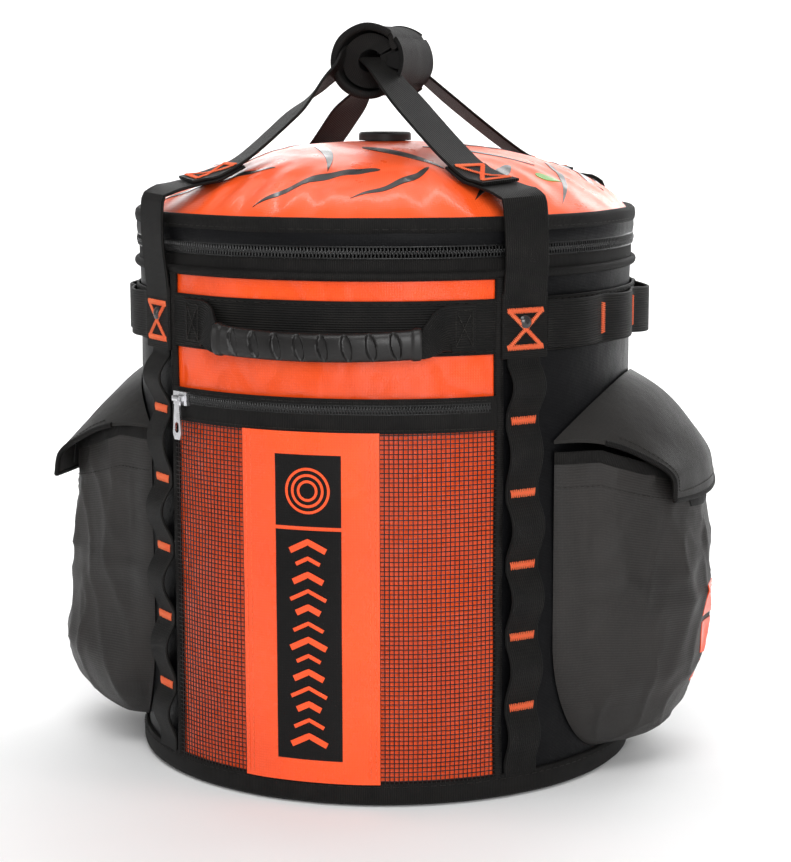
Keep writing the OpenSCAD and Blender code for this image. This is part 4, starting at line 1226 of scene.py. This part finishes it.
def build_back():
    z1, z2 = low("back_pad", 2), high("back_pad", 2)
    channels = spread(z1, z2, 4)[1:4]

    def pad_radius(a, z):
        side = 1 - abs(a - 180) / 30
        edge = smooth(side * 7) * smooth((z - z1) / 14) * smooth((z2 - z) / 14)
        groove = sum(math.exp(-((z - c) / 4.5) ** 2) for c in channels)
        spine = math.exp(-((a - 180) / 1.6) ** 2)
        lump = 0.6 * wobble(around(a, 176, z), 40, 5.0)
        return DRUM_R + 2.4 + edge * (8.2 - 4.6 * min(1, groove + 0.8 * spine) + lump)
    g = Geo()
    band_patch(g, 150.5, 209.5, z1, z2, pad_radius, 3.0, na=80, nz=110)
    pad = g.piece("back_pad_cloth", "padding", "bag")
    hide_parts("back_pad")
    g = Geo()
    corners = [(151, z1 + 6), (151, z2 - 6), (156, z2), (204, z2),
               (209, z2 - 6), (209, z1 + 6), (204, z1), (156, z1)]
    edge = curve([(around(a, DRUM_R + 2.0, z), outward(a)) for a, z in corners + corners[:1]])
    sweep(g, edge, flat_profile(8, 3.2, 0.5, n=4))
    g.piece("back_pad_binding", "binding", "bag")

    straps, tapes, webs, seams, lower = Geo(), Geo(), Geo(), Geo(), Geo()
    top_z, low_z = high("shoulder_straps", 2), 108.0
    for s in (-1, 1):
        def centre(t, lift=0.0):
            a = 180 + s * (SHOULDER_AT - 3.0 + 4.5 * math.sin(math.pi * min(1.0, t * 1.05)) - 1.5 * (1 - t))
            r = DRUM_R + 4.5 + 9.5 * smooth((t - 0.02) / 0.14) + 1.2 * math.sin(math.pi * t) + lift
            return around(a, r, top_z + (low_z - top_z) * t), outward(a)
        across = sideways(180 + s * SHOULDER_AT)
        run = [centre(t) for t in spread(0.14, 1, 50)]
        width = [1.0 - 0.12 * smooth((t - 0.75) / 0.25) - 0.06 * smooth((0.15 - t) / 0.15)
                 for t in spread(0, 1, 50)]
        sweep(straps, run, flat_profile(46, 7.0, 2.2, n=10), scale=width)
        for edge in (-22.6, 22.6):
            side = [(p + across * edge * k, n) for (p, n), k in zip(run, width)]
            sweep(tapes, side, round_profile(2.0, 3.9, 8))
        top = [centre(t, 4.9 * smooth(t / 0.2)) for t in spread(0, 1, 60)]
        sweep(webs, top, flat_profile(25, WEB_T))
        for off in (-10.5, 10.5):
            for (p, n), (q, m) in zip(top[14:], top[15:]):
                seams.capsule(p + across * off + n * 1.1, p.lerp(q, 0.7) + across * off + m * 1.1, 0.26)
        a = 180 + s * SHOULDER_AT
        drop = [(around(a, DRUM_R + r, z), outward(a)) for r, z in
                ((14.6, 104), (15.0, 90), (13.4, 60), (8.5, 38), (2.4, 22), (1.6, 12))]
        sweep(lower, curve(drop, 3.0), flat_profile(24, WEB_T))
    pads = straps.piece("shoulder_pads", "padding", "bag")
    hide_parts("shoulder_straps")
    tapes.piece("shoulder_pad_binding", "binding", "bag")
    webs.piece("shoulder_webs", "webbing", "bag")
    seams.piece("shoulder_seams", "webbing", "bag", look="dark_thread")
    lower.piece("lower_web_straps", "webbing", "bag", "lower_webs")


def finish_cad_nodes():
    """CAD pieces whose shape is right keep it and get their material."""
    kept = {"base_panel": "base_fabric", "base_stiffener": "stiffener", "drain_eyelets": "metal",
            "strap_rivets": "rivet", "pocket_slider": "metal", "pocket_pull": "metal", "lid_slider": "metal",
            "lid_pull": "metal", "rope_port": "port", "ladder_locks": "buckle"}
    for node, look in kept.items():
        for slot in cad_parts[node].material_slots:
            slot.material = LOOKS[look]


# ---- stage, in metres


def area_light(name, place, aim, size, power):
    data = bpy.data.lights.new(name, "AREA")
    data.shape = "RECTANGLE"
    data.size, data.size_y = size
    data.energy = power
    lamp = bpy.data.objects.new(name, data)
    lamp.location = place
    lamp.rotation_euler = (Vector(aim) - Vector(place)).to_track_quat("-Z", "Y").to_euler()
    bpy.context.scene.collection.objects.link(lamp)


def build_stage():
    """A pale paper sweep: the floor, rising in a wide curve behind the bag."""
    half, back, bend, top = 6.0, 3.6, 1.2, 7.0
    rows = [(-half, 0.0), (back - bend, 0.0)]
    rows += [(back - bend + bend * math.sin(t), bend - bend * math.cos(t)) for t in spread(0, math.pi / 2, 24)]
    rows += [(back, top)]
    mesh = bpy.data.meshes.new("paper_sweep")
    just_below = 0.0006
    verts = [(x, y, z - just_below) for y, z in rows for x in (-half, half)]
    faces = [(2 * i, 2 * i + 1, 2 * i + 3, 2 * i + 2) for i in range(len(rows) - 1)]
    mesh.from_pydata(verts, [], faces)
    mesh.polygons.foreach_set("use_smooth", [True] * len(faces))
    look = Look("paper", (0.92, 0.92, 0.92), 0.9)
    look.drive("Base Color", look.ramp(look.noise(look.place(), 3.0), (0.3, 0.90), (0.7, 0.94)))
    mesh.materials.append(look.mat)
    sweep_sheet = bpy.data.objects.new("paper_sweep", mesh)
    bpy.context.scene.collection.objects.link(sweep_sheet)
    world = bpy.data.worlds.new("studio")
    world.use_nodes = True
    light = world.node_tree.nodes["Background"]
    light.inputs["Color"].default_value = (1, 1, 1, 1)
    light.inputs["Strength"].default_value = 0.32
    bpy.context.scene.world = world
    bpy.context.scene.view_settings.view_transform = "Standard"
    area_light("key", (1.0, -2.2, 0.95), (0, 0, 0.22), (1.3, 1.1), 33)
    area_light("fill", (-1.9, -1.1, 0.9), (0, 0, 0.22), (0.8, 1.2), 6)
    area_light("top", (0.1, -1.1, 1.9), (0, 0, 0.35), (1.2, 0.8), 15)
    area_light("rim", (-0.95, 1.7, 0.95), (0, 0, 0.38), (0.9, 0.7), 5)
    area_light("back", (0.75, 2.1, 1.2), (0, 0, 0.3), (1.0, 0.8), 8)
    area_light("floor", (0, 0.9, 2.6), (0, 2.6, 0.9), (3.0, 0.6), 60)
    area_light("backdrop", (0, 2.2, 2.6), (0, 3.6, 0.8), (3.6, 0.8), 60)


def build_camera():
    """The viewing angle: a little right of the front and above the wrap's level, looking slightly down."""
    turn, pitch, roll = math.radians(14.55), math.radians(9.47), math.radians(-0.17)
    away, height = 1.5198, 0.4545
    data = bpy.data.cameras.new("view")
    data.sensor_fit = "AUTO"
    data.sensor_width = 36.0
    data.lens = 91.07
    data.shift_x = 0.0111
    data.shift_y = 0.0278
    data.clip_start, data.clip_end = 0.05, 40
    camera = bpy.data.objects.new("view", data)
    forward = Vector((-math.sin(turn) * math.cos(pitch), math.cos(turn) * math.cos(pitch), -math.sin(pitch)))
    right = Vector((math.cos(turn), math.sin(turn), 0))
    up = right.cross(forward)
    right, up = (math.cos(roll) * right + math.sin(roll) * up, math.cos(roll) * up - math.sin(roll) * right)
    place = Vector((away * math.sin(turn), -away * math.cos(turn), height))
    camera.matrix_world = Matrix.Translation(place) @ Matrix((right, up, -forward)).transposed().to_4x4()
    bpy.context.scene.collection.objects.link(camera)
    bpy.context.scene.camera = camera


build_camera()
build_stage()
build_drum()
build_band()
build_ladders()
build_pocket()
build_zip_and_hinge()
build_lid()
build_carry()
build_wrap()
build_grip()
build_pouches()
build_inside()
build_back()
finish_cad_nodes()
